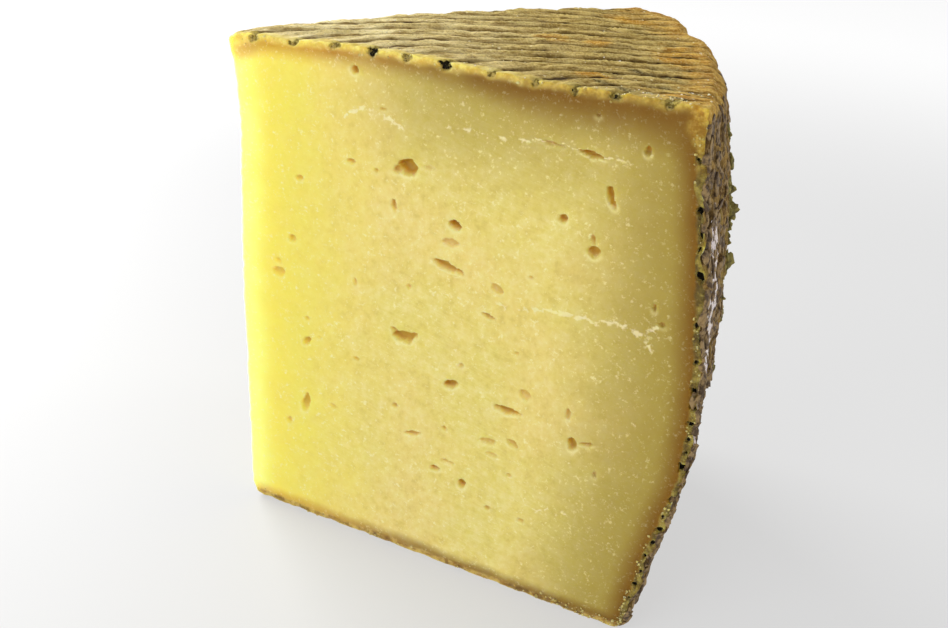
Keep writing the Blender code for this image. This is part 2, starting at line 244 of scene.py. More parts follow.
# Pale cloudy patches of the first cut: distance from the axis, height, half width and half height.
FIRST_CUT_CLOUDS = (
    (24.0, 17.0, 4.0, 2.6),
    (33.0, 24.0, 3.0, 2.2),
    (92.0, 28.0, 2.4, 1.8),
    (94.5, 21.0, 2.0, 2.4),
    (95.5, 42.5, 1.6, 2.2),
    (86.5, 60.5, 2.4, 1.8),
    (63.0, 38.0, 4.0, 2.0),
    (38.0, 69.0, 3.0, 2.0),
    (72.5, 69.0, 3.4, 2.0),
    (83.0, 91.0, 2.2, 3.0),
)

# Edge pits: width and depth where a board groove or a belt strand meets a cut, and how mouldy each of the
# top ones is, from the tip to the rim.
TOP_PIT_WIDTH = 3.2
TOP_PIT_DEPTH = 0.6
TOP_PIT_MOULD = (0.5, 0.6, 0.7, 1.0, 0.75, 1.0, 0.35, 0.5, 0.8, 0.9, 0.8, 0.4)
# Pits in the side rind's edge at the first cut: height, width, how tall, and depth.
SIDE_PITS = (
    (110.0, 1.4, 1.6, 0.8),
    (100.5, 1.7, 2.4, 1.6),
    (96.0, 1.2, 2.2, 0.8),
    (93.2, 1.2, 1.4, 0.8),
    (88.0, 1.6, 2.2, 1.6),
    (78.0, 1.4, 1.6, 0.9),
    (70.2, 1.2, 1.4, 0.8),
    (64.0, 1.6, 1.9, 1.7),
    (60.4, 1.6, 1.4, 1.7),
    (56.6, 2.4, 1.2, 1.5),
    (53.0, 1.3, 1.2, 0.8),
    (49.8, 1.4, 1.2, 0.8),
    (46.3, 1.9, 2.2, 1.7),
    (38.0, 2.2, 1.6, 1.5),
    (33.0, 1.3, 1.4, 0.8),
    (29.6, 1.5, 1.4, 1.3),
    (25.8, 1.3, 1.4, 0.9),
    (21.8, 1.4, 1.4, 1.2),
    (17.6, 1.2, 1.2, 0.8),
    (13.8, 1.3, 1.4, 1.2),
    (9.6, 1.2, 1.3, 1.0),
)

# Places on the top rind, seen from above: x, y and the half widths along x and y.
ORANGE_SPOTS = (
    (75.5, 10.5, 4.5, 2.6),
    (57.5, 33.0, 3.5, 3.0),
    (66.0, 36.0, 4.0, 4.0),
    (62.6, 63.0, 6.0, 4.0),
    (85.0, 38.0, 7.0, 8.0),
    (97.0, 6.0, 7.0, 4.0),
)
DARK_PATCHES = (
    (86.5, 3.0, 5.0, 1.5),
    (92.0, 13.0, 5.0, 1.2),
    (97.9, 11.4, 1.2, 1.0),
    (95.0, 2.4, 2.6, 1.2),
    (80.0, 7.0, 5.0, 0.9),
    (84.0, 20.0, 7.0, 1.0),
)

# Green and brown flakes that stand out from the side rind: height, degrees from the first cut, width,
# how tall, and how far they stand out.
SIDE_FLAKES = (
    (107.5, 16.5, 1.6, 2.6, 0.9),
    (101.5, 16.5, 1.6, 3.0, 0.5),
    (95.5, 15.8, 2.4, 5.0, 1.7),
    (91.5, 15.6, 2.0, 4.0, 1.5),
    (88.0, 15.4, 1.8, 2.6, 0.9),
    (81.0, 14.6, 2.2, 5.4, 1.1),
    (77.5, 14.4, 1.8, 3.0, 0.9),
    (70.0, 13.5, 1.6, 2.6, 0.8),
    (58.0, 12.0, 1.6, 2.4, 0.7),
    (48.5, 11.0, 1.8, 2.4, 0.9),
)

# Mesh: rows from tip to rim and levels from table to top. The first refinement reaches this far from the
# eyes of either cut, the rind, the tip's edge and the first cut, and the second one less far.
RADIAL_ROWS = 92
LEVELS = 100
FINE_EYE = 1.6
FINE_FAR_EYE = 0.8
FINE_BAND = 4.5
FINE_TIP = 3.0
FINE_SIDE = 34.0
FINEST_EYE = 0.9
FINEST_BAND = 3.0

# How deep below a face its relief still moves the points: of the rind, the base, a cut, and its eyes.
RIND_REACH = 4.0
BASE_REACH = 3.0
CUT_REACH = 5.0
EYE_REACH = 3.4
# Rounding of the cuts' edges.
EDGE_ROUND = 0.8
# The outer part of the wheel that the rim's lobes and the low flare and hollow move.
OUTER_START = 88.0
OUTER_RUN = 12.0

# Small pieces on the surface. The number of a flake's crumbs is for each flake.
UPRIGHT = np.array([0.0, 0.0, 1.0])
FLAKE_SEED = 5
SIDE_CHIPS = 900
FLAKE_CRUMBS = 9
EDGE_CRUMBS = 200
TOP_CRYSTALS = 150

# How far light runs inside the paste: in red, green and blue as shares of a length in millimetres, which is
# shorter for a crumb.
PASTE_RADIUS = 1.0, 0.86, 0.26
PASTE_LENGTH = 5.0
CRUMB_LENGTH = 1.0
PASTE_IOR = 1.45

# Angle of the faint streaks that the knife left on the cut.
KNIFE_ANGLE = math.radians(-14.0)

# The camera, solved from the wedge's outline: the photo's width and focal length in pixels, its place from
# the foot of the wheel's axis in millimetres, and its turns.
PHOTO_WIDTH = 948
PHOTO_FOCAL = 1175.22
SENSOR_WIDTH = 36.0
CAMERA_FROM_AXIS = (153.21, -197.49, 178.05)
CAMERA_YAW = 0.4463
CAMERA_PITCH = 0.4674
CAMERA_ROLL = 0.064

# Lamps: name, place and size in metres, and watts. All of them point at the same place.
LAMPS = (
    ("back_left", (-0.52, 0.16, 0.38), (0.35, 0.35), 4.4),
    ("front", (-0.25, -0.75, 0.45), (0.6, 0.6), 3.1),
    ("right_strip", (0.55, 0.30, 0.40), (0.12, 0.5), 1.2),
)
LAMP_TARGET = 0.0, 0.0, 0.06
WORLD_LIGHT = 0.42
# The floor: radius in metres, grey, and how it glows at two distances from the wedge.
FLOOR_RADIUS = 4.0
FLOOR_GREY = 0.20
FLOOR_DISTANCES = 0.22, 0.60
FLOOR_GLOW = 0.54, 0.8


def smooth(value):
    """0 below zero, 1 above one, with a soft step between them."""
    value = np.clip(value, 0.0, 1.0)
    return value * value * (3.0 - 2.0 * value)


def fade(value):
    """1 below zero, 0 above one, with a soft step between them."""
    return 1.0 - smooth(value)


def ramp(value, start, end):
    """0 before start, 1 after end, with a soft step between them."""
    return smooth((value - start) / (end - start))


def hump(value, start, full, end):
    """Rises from start to full and falls back to nothing at end."""
    return ramp(value, start, full) * (1.0 - ramp(value, full, end))


def from_line(phase):
    """How far a phase is from the nearest whole number: 0 on it and 1 halfway to the next."""
    return np.abs(phase - np.round(phase)) * 2.0


def patches(x, y, ovals, uneven, start, run):
    """Soft uneven patches around ovals, which are given as middle x and y and half widths."""
    near = np.zeros(len(x))
    for middle_x, middle_y, wide, tall in ovals:
        out = np.hypot((x - middle_x) / wide, (y - middle_y) / tall) + uneven
        near = np.maximum(near, fade((out - start) / run))
    return near


def scrambled(cells, seed):
    """A whole number for each cell of a grid that looks random but is always the same."""
    key = cells[:, 0] * 73856093 ^ cells[:, 1] * 19349663 ^ cells[:, 2] * 83492791 ^ seed * 1013904223
    key = ((key ^ key >> 13) & 0xFFFFFFFF) * 1274126177 & 0xFFFFFFFF
    key = ((key ^ key >> 15) & 0xFFFFFFFF) * 668265263 & 0xFFFFFFFF
    return key ^ key >> 16


def gradient_noise(points, seed):
    """Smooth noise of about -0.7 to 0.7 that changes over one unit."""
    cells = np.floor(points).astype(np.int64)
    local = points - cells
    ease = local * local * local * (local * (local * 6.0 - 15.0) + 10.0)
    total = np.zeros(len(points))
    for corner in range(8):
        offset = np.array([corner & 1, corner >> 1 & 1, corner >> 2 & 1])
        key = scrambled(cells + offset, seed)
        slope = np.stack([key & 255, key >> 8 & 255, key >> 16 & 255], axis=1) / 127.5 - 1.0
        share = np.prod(np.where(offset, ease, 1.0 - ease), axis=1)
        total += share * np.sum((local - offset) * slope, axis=1)
    return total


def noise(points, size, octaves=1, seed=0):
    """Layered noise of about -1 to 1; size is the span of its coarsest layer, or one span for each axis."""
    total = np.zeros(len(points))
    scaled = points / np.asarray(size, float)
    strength = 1.5
    for octave in range(octaves):
        total += strength * gradient_noise(scaled * 2.0**octave, seed + 17 * octave)
        strength *= 0.5
    return total


def creases(points, size, octaves=2, seed=0):
    """Noise of about 0 to 1 with sharp creases at 0, as between the lumps of a rough crust."""
    total = np.zeros(len(points))
    scaled = points / np.asarray(size, float)
    strength = 1.0
    for octave in range(octaves):
        ridge = np.abs(gradient_noise(scaled * 2.0**octave, seed + 31 * octave))
        total += strength * np.minimum(ridge * 3.0, 1.0)
        strength *= 0.5
    return total / (2.0 - 0.5**(octaves - 1))


def side_radius(height):
    """Radius of the wheel's belly at a height."""
    low = height < BELLY_HEIGHT
    end_radius = np.where(low, BASE_RADIUS, RIM_RADIUS)
    end_height = np.where(low, 0.0, HEIGHT)
    part = np.clip((height - BELLY_HEIGHT) / (end_height - BELLY_HEIGHT), 0.0, None)
    return BELLY_RADIUS - (BELLY_RADIUS - end_radius) * part**BELLY_POWER


def top_height(radius):
    """Height of the bowed top at a distance from the axis."""
    part = np.minimum(radius / RIM_RADIUS, 1.0)
    drop = TIP_DROP * fade(radius / TIP_DROP_REACH)
    return HEIGHT + 4.0 * TOP_BOW * part * (1.0 - part) - drop


def sector_points(outward, turn, level):
    """Places in the plain sector, from shares of the way outwards, round and up."""
    angle = turn * OPENING
    height = level * top_height(outward * RIM_RADIUS)
    radius = np.where(level >= 1.0, RIM_RADIUS, side_radius(level * HEIGHT))
    reach = TIP_SETBACK * np.cos(angle) + np.sqrt(radius**2 - (TIP_SETBACK * np.sin(angle))**2)
    x = outward * reach * np.cos(angle) - TIP_SETBACK
    y = outward * reach * np.sin(angle)
    return np.stack([x, y, height], axis=1)


def grid_faces(columns, rows, flip):
    """Triangles of a grid of (columns + 1) x (rows + 1) points, with their diagonals in turns."""
    column, row = np.meshgrid(np.arange(columns), np.arange(rows), indexing="ij")
    a = (column * (rows + 1) + row).ravel()
    b = a + rows + 1
    c = b + 1
    d = a + 1
    even = ((column + row) % 2 == 0).ravel()
    one = np.where(even[:, None], np.stack([a, b, c], 1), np.stack([a, b, d], 1))
    two = np.where(even[:, None], np.stack([a, c, d], 1), np.stack([b, c, d], 1))
    faces = np.vstack([one, two])
    return faces[:, ::-1] if flip else faces


def cut_patch(turn):
    """A cut face, on which turn is 0 for the first cut and 1 for the second."""
    outward, level = np.meshgrid(np.arange(RADIAL_ROWS + 1), np.arange(LEVELS + 1), indexing="ij")
    turns = np.full(outward.size, turn)
    shares = np.stack([outward.ravel() / RADIAL_ROWS, turns, level.ravel() / LEVELS], 1)
    return shares, grid_faces(RADIAL_ROWS, LEVELS, flip=turn > 0.5)


def side_patch():
    """The side, from the first cut to the second."""
    turn, level = np.meshgrid(np.arange(RADIAL_ROWS + 1), np.arange(LEVELS + 1), indexing="ij")
    shares = np.stack([np.ones(turn.size), turn.ravel() / RADIAL_ROWS, level.ravel() / LEVELS], 1)
    return shares, grid_faces(RADIAL_ROWS, LEVELS, flip=False)


def end_patch(level):
    """The top or the foot, as rows that get one point longer from the tip to the rim."""
    shares = []
    faces = []
    start = 0
    for row in range(RADIAL_ROWS + 1):
        turns = np.arange(row + 1) / max(row, 1)
        shares.append(np.stack([np.full(row + 1, row / RADIAL_ROWS), turns, np.full(row + 1, level)], 1))
        if row < RADIAL_ROWS:
            here = start + np.arange(row + 1)
            there = here + row + 1
            faces.append(np.stack([here, there, there + 1], 1))
            faces.append(np.stack([here[:-1], there[1:], here[1:]], 1))
        start += row + 1
    faces = np.vstack(faces)
    return np.vstack(shares), faces if level > 0.5 else faces[:, ::-1]


def plain_sector():
    """Points, triangles and the faces that each point is on, of the sector before any detail."""
    shares = []
    faces = []
    start = 0
    patches_of_wedge = cut_patch(0.0), cut_patch(1.0), side_patch(), end_patch(1.0), end_patch(0.0)
    for patch_shares, patch_faces in patches_of_wedge:
        shares.append(patch_shares)
        faces.append(patch_faces + start)
        start += len(patch_shares)
    shares = np.vstack(shares)
    faces = np.vstack(faces)
    at_tip = shares[:, 0] < 1e-9
    shares[at_tip, 1] = 0.0
    keys = np.round(shares * 1e7).astype(np.int64)
    keys, first, merged = np.unique(keys, axis=0, return_index=True, return_inverse=True)
    shares = shares[first]
    points = sector_points(shares[:, 0], shares[:, 1], shares[:, 2])
    tip = shares[:, 0] < 1e-9
    member = np.stack([
        (shares[:, 1] < 1e-9) | tip,
        (shares[:, 1] > 1.0 - 1e-9) | tip,
        shares[:, 0] > 1.0 - 1e-9,
        shares[:, 2] > 1.0 - 1e-9,
        shares[:, 2] < 1e-9,
    ], axis=1)
    return points, merged.reshape(-1)[faces], member


def refined(points, faces, member, wanted):
    """Halves the edges of the wanted triangles, and splits their neighbours so that no gap opens."""
    count = len(points)
    following = np.roll(faces, -1, axis=1)
    keys = np.minimum(faces, following) * count + np.maximum(faces, following)
    edges, place = np.unique(keys, return_inverse=True)
    place = place.reshape(keys.shape)
    split = np.zeros(len(edges), bool)
    split[place[wanted]] = True
    middle = np.full(len(edges), -1)
    middle[split] = count + np.arange(split.sum())
    first, second = edges[split] // count, edges[split] % count
    points = np.vstack([points, 0.5 * (points[first] + points[second])])
    member = np.vstack([member, member[first] & member[second]])
    middles = middle[place]
    number = (middles >= 0).sum(axis=1)
    result = [faces[number == 0]]
    corner, mid = faces[number == 3].T, middles[number == 3].T
    result.append(np.stack([corner[0], mid[0], mid[2]], 1))
    result.append(np.stack([mid[0], corner[1], mid[1]], 1))
    result.append(np.stack([mid[2], mid[1], corner[2]], 1))
    result.append(np.stack([mid[0], mid[1], mid[2]], 1))
    for turn in range(3):
        a, b, c = np.roll(faces, -turn, axis=1).T
        m, n, o = np.roll(middles, -turn, axis=1).T
        single = (number == 1) & (m >= 0)
        result.append(np.stack([a, m, c], 1)[single])
        result.append(np.stack([m, b, c], 1)[single])
        double = (number == 2) & (o < 0)
        result.append(np.stack([m, b, n], 1)[double])
        result.append(np.stack([a, m, n], 1)[double])
        result.append(np.stack([a, n, c], 1)[double])
    return points, np.vstack(result), member


def second_cut_distance(points):
    """Distance of points from the second cut, inwards."""
    return math.sin(OPENING) * (points[:, 0] + TIP_SETBACK) - math.cos(OPENING) * points[:, 1]


def second_cut_along(points):
    """Distance of points from the tip along the second cut."""
    return math.cos(OPENING) * (points[:, 0] + TIP_SETBACK) + math.sin(OPENING) * points[:, 1]


def second_cut_eyes():
    """Eyes of the second cut, at the same places as in the solid, with the sizes of the first cut's."""
    rng = random.Random(SECOND_CUT_SEED)
    eyes = []
    while len(eyes) < SECOND_CUT_EYES:
        along = rng.uniform(SECOND_CUT_EDGE * MM, (RIM_RADIUS - SECOND_CUT_EDGE) * MM) / MM
        height = rng.uniform(SECOND_CUT_EDGE * MM, (HEIGHT - SECOND_CUT_EDGE) * MM) / MM
        apart = [math.hypot(along - eye[0], height - eye[1]) for eye in eyes]
        if min(apart, default=SECOND_CUT_SPACING) < SECOND_CUT_SPACING:
            continue
        size = FIRST_CUT_EYES[len(eyes) % len(FIRST_CUT_EYES)][2:]
        eyes.append((along, height) + size)
    return eyes


def eye_nearness(along, up, eyes, ragged):
    """Depth and painted shade of each point's eye, distance from an eye's outline, and nearness to a painted
    highlight on its lower rim.
    """
    depth = np.zeros(len(along))
    shade = np.zeros(len(along))
    nearness = np.full(len(along), 9.0)
    painted_rim_highlight = np.zeros(len(along))
    for eye_along, eye_up, width, tall, deep, tilt in eyes:
        turn = math.radians(tilt)
        across = ((along - eye_along) * math.cos(turn) + (up - eye_up) * math.sin(turn)) / (0.5 * width)
        above = ((up - eye_up) * math.cos(turn) - (along - eye_along) * math.sin(turn)) / (0.5 * tall)
        out = np.hypot(across, above)
        rough = out + ragged * (0.45 + 0.9 / min(width, tall))
        slope = np.where(above > 0.0, 0.24, 0.52)
        bowl = deep * smooth((1.08 - rough) / slope) * (1.0 - 0.22 * np.minimum(rough, 1.0)**2)
        depth = np.maximum(depth, bowl)
        # Painted shade: the eye is painted darker the deeper it is, and darker in its upper part, which the
        # light from above does not reach.
        shade = np.maximum(shade, bowl * (0.45 + 0.55 * smooth((above + 0.7) / 1.2)))
        nearness = np.minimum(nearness, (out - 1.0) * 0.25 * (width + tall))
        beyond = (rough - 1.0) * 0.25 * (width + tall)
        below = smooth(-above / np.maximum(out, 0.1) + 0.2)
        # Painted highlight: a pale band on the lower rim of each eye, where light from above catches it.
        painted_rim_highlight = np.maximum(painted_rim_highlight, below * hump(beyond, -0.1, 0.25, 1.1) * min(deep, 1.5) / 1.5)
    return depth, shade, nearness, painted_rim_highlight


def segment_distance(along, up, start, end):
    """Distance of points on a cut from a straight stretch."""
    start, end = np.array(start), np.array(end)
    span = end - start
    part = np.clip(((along - start[0]) * span[0] + (up - start[1]) * span[1]) / np.dot(span, span), 0.0, 1.0)
    return np.hypot(along - start[0] - part * span[0], up - start[1] - part * span[1])


class Fields:
    """Everything about each point of the mesh that the shape and the materials need."""

    def __init__(self, points, member):
        self.raw = points
        self.x, self.y, self.z = points.T
        self.radius = np.hypot(self.x, self.y)
        self.angle = np.arctan2(self.y, self.x)
        self.on_first, self.on_second, self.on_side, self.on_top, self.on_foot = member.T
        self.on_rind = self.on_side | self.on_top | self.on_foot
        self.to_first = self.y
        self.to_second = second_cut_distance(points)
        self.to_side = side_radius(self.z) - self.radius
        self.to_top = top_height(self.radius) - self.z
        self.to_foot = self.z
        self.to_rind = np.minimum(np.minimum(self.to_side, self.to_top), self.to_foot)
        self.board()
        self.belt()
        self.eyes()
        self.edge_pits()

    def board(self):
        """The ribbed board's print: where each point is along and across its ribs, and how deep it is."""
        along = self.x * math.cos(BOARD_ANGLE) + self.y * math.sin(BOARD_ANGLE)
        across = self.y * math.cos(BOARD_ANGLE) - self.x * math.sin(BOARD_ANGLE)
        across = across - BOARD_PHASE - BOARD_WAVE * np.sin(2.0 * math.pi * along / BOARD_WAVE_LENGTH)
        across -= BOARD_BEND * smooth(self.to_first / BOARD_BEND_REACH)
        across -= BOARD_SPREAD * self.to_first
        self.plan = np.stack([along, across, np.zeros(len(along))], axis=1)
        self.board_along = along
        near_cut = fade(self.to_first / 6.0)
        wander = noise(self.plan, (26.0, 9.0, 1.0), 2, seed=3) * (1.0 - 0.8 * near_cut)
        self.board_phase = (across + 0.45 * wander) / BOARD_PITCH
        off_groove = from_line(self.board_phase)
        open_part = fade((self.radius - 88.0) / 11.0)
        strength = np.clip(0.85 + 0.7 * noise(self.plan, (22.0, 6.0, 1.0), 2, seed=5), 0.15, 1.5)
        fine = noise(self.plan, (11.0, 1.3, 1.0), 3, seed=7)
        broken = np.clip(1.0 + 0.9 * noise(self.plan, (7.0, 2.2, 1.0), 3, seed=9), 0.1, 1.6)
        main = fade(off_groove / 0.34) * 0.64 * broken + 0.36 * (1.0 - off_groove**2)
        side_line = 0.24 * fade(from_line(self.board_phase * 2.0 + 0.5 * wander) / 0.4) * broken
        self.groove = main * strength * (0.25 + 0.75 * open_part)
        self.board_drop = BOARD_GROOVE * (self.groove + side_line * open_part)
        self.board_drop -= 0.08 * fine * (0.3 + 0.7 * open_part)
        self.board_drop *= 1.2 - 0.75 * near_cut

    def belt(self):
        """How deep the plaited belt's print is at each point, as a share of a full groove."""
        phase = self.z / BELT_BAND % 2.0
        shift = BELT_LEAN * np.where(phase < 1.0, phase, 2.0 - phase) - 0.5 * BELT_LEAN
        strength = smooth(self.z / BELT_FADE) * smooth((HEIGHT - TOP_SHOULDER - self.z) / BELT_FADE)
        arc = self.angle * BELLY_RADIUS
        sheet = np.stack([arc, np.zeros(len(arc)), self.z], axis=1)
        wander = noise(sheet, (14.0, 1.0, 11.0), 2, seed=11)
        off_groove = from_line((arc - shift * np.minimum(1.0, 4.0 * strength) + 0.5 * wander) / BELT_PITCH)
        strand = fade(off_groove / 0.6) * 0.75 + 0.25 * (1.0 - off_groove**2)
        crease = fade(from_line(self.z / BELT_BAND) / 0.16) * 0.5
        wear = np.clip(0.8 + 0.8 * noise(sheet, (17.0, 1.0, 13.0), 2, seed=13), 0.1, 1.4)
        self.belt_groove = np.maximum(strand, crease) * wear * strength

    def eyes(self):
        """Eyes of both cuts, and cracks and clouds of the first."""
        ragged = 0.30 * noise(self.raw, 1.9, 3, seed=21)
        along, up = self.x, self.z
        named = FIRST_CUT_EYES + FIRST_CUT_ARMS + FIRST_CUT_PINHOLES
        found = eye_nearness(along, up, named, ragged)
        self.first_depth, self.first_shade, self.first_near, self.first_painted_rim_highlight = found
        mirrored = [(*eye[:5], -eye[5]) for eye in second_cut_eyes()]
        found = eye_nearness(second_cut_along(self.raw), up, mirrored, ragged)
        self.second_depth, self.second_shade, self.second_near, self.second_painted_rim_highlight = found
        self.crack = np.zeros(len(along))
        for half_width, line in FIRST_CUT_CRACKS:
            for start, end in zip(line, line[1:]):
                away = segment_distance(along + 0.5 * ragged, up + 2.2 * ragged, start, end)
                self.crack = np.maximum(self.crack, fade((away - 0.2 * half_width) / (1.2 * half_width)))
        self.crack *= smooth(0.85 + 0.9 * noise(self.raw, (3.0, 3.0, 1.5), 2, seed=22))
        patchy = 0.6 * noise(self.raw, 2.4, 3, seed=23)
        self.cloud = patches(along, up, FIRST_CUT_CLOUDS, patchy, 0.3, 0.9)

    def top_pits(self, angle, uneven):
        """Pits where the board's grooves run out at a cut, which they meet at this angle."""
        gap = from_line(self.board_phase) * BOARD_PITCH / math.sin(angle)
        out = np.hypot(gap / TOP_PIT_WIDTH, (self.to_top - 0.6) / 1.5) + uneven
        return fade((out - 0.5) / 0.65)

    def edge_pits(self):
        """Mouldy pits where the board's grooves and the belt's strands run out at the cuts."""
        ragged = 0.45 * noise(self.raw, 1.3, 3, seed=27)
        number = np.clip(-np.round(self.board_phase), 0, len(TOP_PIT_MOULD) - 1).astype(int)
        mould = np.array(TOP_PIT_MOULD)[number]
        top_pit = self.top_pits(BOARD_ANGLE, ragged + 0.5 * (1.0 - mould))
        side_pit = np.zeros(len(self.x))
        side_deep = np.zeros(len(self.x))
        for height, wide, tall, deep in SIDE_PITS:
            out = np.hypot((self.to_side - 1.1) / (0.58 * wide), (self.z - height) / (0.55 * tall))
            pit = fade((out + 1.1 * ragged - 0.6) / 0.5)
            side_pit = np.maximum(side_pit, pit)
            side_deep = np.maximum(side_deep, pit * deep)
        self.first_pit = np.maximum(top_pit, side_pit)
        self.first_black = np.maximum(top_pit * mould * 0.8, side_pit * np.clip(side_deep, 0.35, 1.0))
        self.first_pit_depth = np.maximum(top_pit * TOP_PIT_DEPTH, side_deep)
        rung = from_line(self.z / BELT_PITCH) * 0.5 * BELT_PITCH
        side_pit = fade((np.hypot(self.to_side - 1.1, rung / 1.1) + 1.6 * ragged - 0.5) / 0.5)
        self.second_pit = np.maximum(self.top_pits(OPENING - BOARD_ANGLE, ragged + 0.2), side_pit)

    def masks(self):
        """The masks that the materials are mixed from, each from 0 to 1 unless it is a length or a phase."""
        self.wavy = noise(self.raw, 9.0, 3, seed=31)
        self.lumpy = noise(self.raw, (6.0, 6.0, 4.0), 3, seed=32)
        self.ragged = noise(self.raw, 2.2, 3, seed=33)
        return self.cut_masks() | self.hole_masks() | self.rind_masks()

    def cut_masks(self):
        """The paste as it darkens towards the rind, partly by painted shade, and the rind where a cut shows
        it, with painted light at the tip.
        """
        wavy, lumpy, ragged = self.wavy, self.lumpy, self.ragged
        to_top, to_side, to_foot, reach = self.to_top, self.to_side, self.to_foot, self.radius
        top_thick = 0.75 + 0.65 * lumpy + 0.18 * ragged
        side_thick = 1.15 + 0.35 * smooth((self.z - 50.0) / 20.0) + 0.6 * lumpy + 0.3 * ragged
        foot_thick = 1.3 + 0.5 * lumpy + 0.25 * ragged
        top_corner = smooth((self.z - 110.0 + 2.0 * wavy) / 5.0)
        top_strength = 0.72 + 0.28 * smooth((reach - 48.0) / 16.0)
        top_end = 6.0 + 4.5 * smooth((reach - 36.0) / 40.0)
        amber_top = hump(to_top + 0.5 * wavy, 0.4, 2.3, top_end) * np.clip(top_strength + 0.2 * wavy, 0, 1)
        # Partly painted shade: the amber and olive darkening grows towards the side rind and the outer part,
        # where less light falls than at the tip.
        amber_side = hump(to_side + 0.5 * wavy, 0.2, 2.2, 8.0) * (1.0 - 0.3 * top_corner)
        amber_foot = hump(to_foot + 0.6 * wavy, 0.5, 1.9, 5.0) * (0.5 + 0.35 * smooth(reach / 60.0))
        olive_top = 0.75 * fade((to_top + wavy - 4.0) / 28.0) * smooth((reach - 16.0) / 40.0)
        from_edge = np.hypot(self.x + TIP_SETBACK, self.y)
        return {
            "cream_top": fade((to_top - top_thick) / 1.7),
            "cream_side": fade((to_side - side_thick - 0.9 * top_corner) / (0.9 + 1.5 * top_corner)),
            "cream_foot": fade((to_foot - foot_thick) / 0.9),
            "corner": smooth((reach - 78.0) / 14.0) * smooth((self.z - 106.0 + 2.0 * wavy) / 6.0),
            "reach": reach / RIM_RADIUS,
            "amber": 1.0 - (1.0 - amber_top) * (1.0 - amber_side) * (1.0 - amber_foot),
            "olive": np.maximum(fade((to_side + 1.5 * wavy - 5.0) / 29.0), olive_top),
            # Painted light: the paste is painted yellower towards the tip, where the lamp behind shines
            # through the thin wedge.
            "tip": fade((reach + 4.0 * wavy + 4.0) / 48.0),
            # Painted light: near white along the tip's thin edge, where the lamp behind would shine through
            # it.
            "painted_backlight_glow": fade((from_edge + 1.2 * wavy) / 9.0),
        }

    def hole_masks(self):
        """Eyes with their painted shade and painted highlights on their lower rims, cracks and clouds of the
        paste, and the mouldy pits along the cuts' edges.
        """
        first = self.on_first & ~self.on_rind
        second = self.on_second & ~self.on_rind
        eye = np.where(first, self.first_shade, np.where(second, self.second_shade, 0.0))
        by_first = np.where(self.on_first, 1.0, self.on_top * fade(self.to_first / 3.0))
        by_second = np.where(self.on_second, 1.0, self.on_top * fade(self.to_second / 3.0))
        return {
            "pale": np.where(first, np.maximum(self.crack, 0.48 * self.cloud), 0.0),
            # Painted shade inside the eyes.
            "eye": np.clip(eye / 1.5, 0.0, 1.0),
            # Painted highlight on the eyes' lower rims.
            "painted_rim_highlight": np.where(first, self.first_painted_rim_highlight, np.where(second, self.second_painted_rim_highlight, 0.0)),
            "mould": np.maximum(by_first * self.first_pit, by_second * self.second_pit),
            "black": np.maximum(by_first * self.first_black, 0.8 * by_second * self.second_pit),
        }

    def rind_masks(self):
        """Which part of the rind each point is on, the prints in it, and its patches, among them the damp
        ones where glints are painted.
        """
        uneven = noise(self.raw, (4.0, 4.0, 9.0), 3, seed=43)
        height = self.z + 7.0 * uneven
        near = hump(self.to_first - 3.0 * smooth((self.z - 60.0) / 20.0), -0.5, 3.4, 10.5)
        near *= smooth((height - 42.0) / 9.0) * fade((height - 94.0) / 9.0)
        # Damp, glossy patches, on which near-white glints are also painted.
        wet_with_painted_glints = np.clip(1.8 * near + 0.5 * uneven * (near > 0.0), 0.0, 1.0) * smooth(1.0 + 1.3 * uneven)
        ashy = smooth(0.75 + 0.6 * noise(self.raw, 12.0, 2, seed=37))
        rim_cream = fade((self.to_first - 0.9 - 0.6 * self.ragged - 0.5 * self.lumpy) / 0.9)
        return {
            "board": self.board_phase,
            "board_along": self.board_along,
            "belt_groove": np.clip(self.belt_groove, 0.0, 1.2),
            "side": smooth((self.to_top + 0.8 * self.wavy - 1.4) / 2.6),
            "foot": smooth((2.2 - self.to_foot - 0.5 * self.wavy) / 1.6),
            "orange": self.orange(),
            # Paler towards the tip: partly a pale ashy bloom, partly painted light from the lamp behind on
            # the left.
            "ashy_bloom_and_painted_light": fade((self.radius - 18.0) / 58.0) * ashy,
            "rim_cream": self.on_top * rim_cream,
            "dark": self.dark_patches(),
            "moss": smooth((noise(self.raw, (9.0, 9.0, 12.0), 3, seed=39) - 0.10) / 0.35),
            "mauve": smooth(0.5 + 0.9 * noise(self.raw, (11.0, 11.0, 20.0), 2, seed=41)),
            "wet_with_painted_glints": wet_with_painted_glints,
        }

    def dark_patches(self):
        """Grey-green mould in the grooves of the top, strongest near the cut's outer end."""
        patchy = noise(self.plan, (14.0, 4.0, 1.0), 3, seed=47)
        general = smooth((patchy + 0.1) / 0.7) * smooth((self.radius - 45.0) / 35.0) * 0.8
        strongest = patches(self.x, self.y, DARK_PATCHES, 0.3 * patchy, 0.6, 0.6)
        return np.maximum(general * smooth(self.groove / 0.8 + 0.15), strongest)

    def orange(self):
        """Patches of the top rind that are orange-brown: a few spots and the worn rim."""
        patchy = 0.5 * noise(self.raw, 5.0, 3, seed=45)
        streaky = 0.4 * noise(self.plan, (12.0, 2.4, 1.0), 2, seed=46)
        worn = smooth((self.radius + 7.0 * patchy + 5.0 * streaky - 88.0) / 10.0) * 0.8
        return np.maximum(worn, patches(self.x, self.y, ORANGE_SPOTS, patchy + streaky, 0.5, 0.8))

    def shaped(self):
        """The points, bent into the wedge's true form with all its relief."""
        self.bent = np.stack([self.x, self.y, self.z])
        self.outward = self.bent[:2] / np.maximum(self.radius, 1e-6)
        self.near_top = smooth(1.0 - self.to_top / RIND_REACH)
        self.bend_rind()
        self.bend_cuts()
        self.round_edges()
        self.bend_tip()
        self.swell_side()
        return self.bent.T

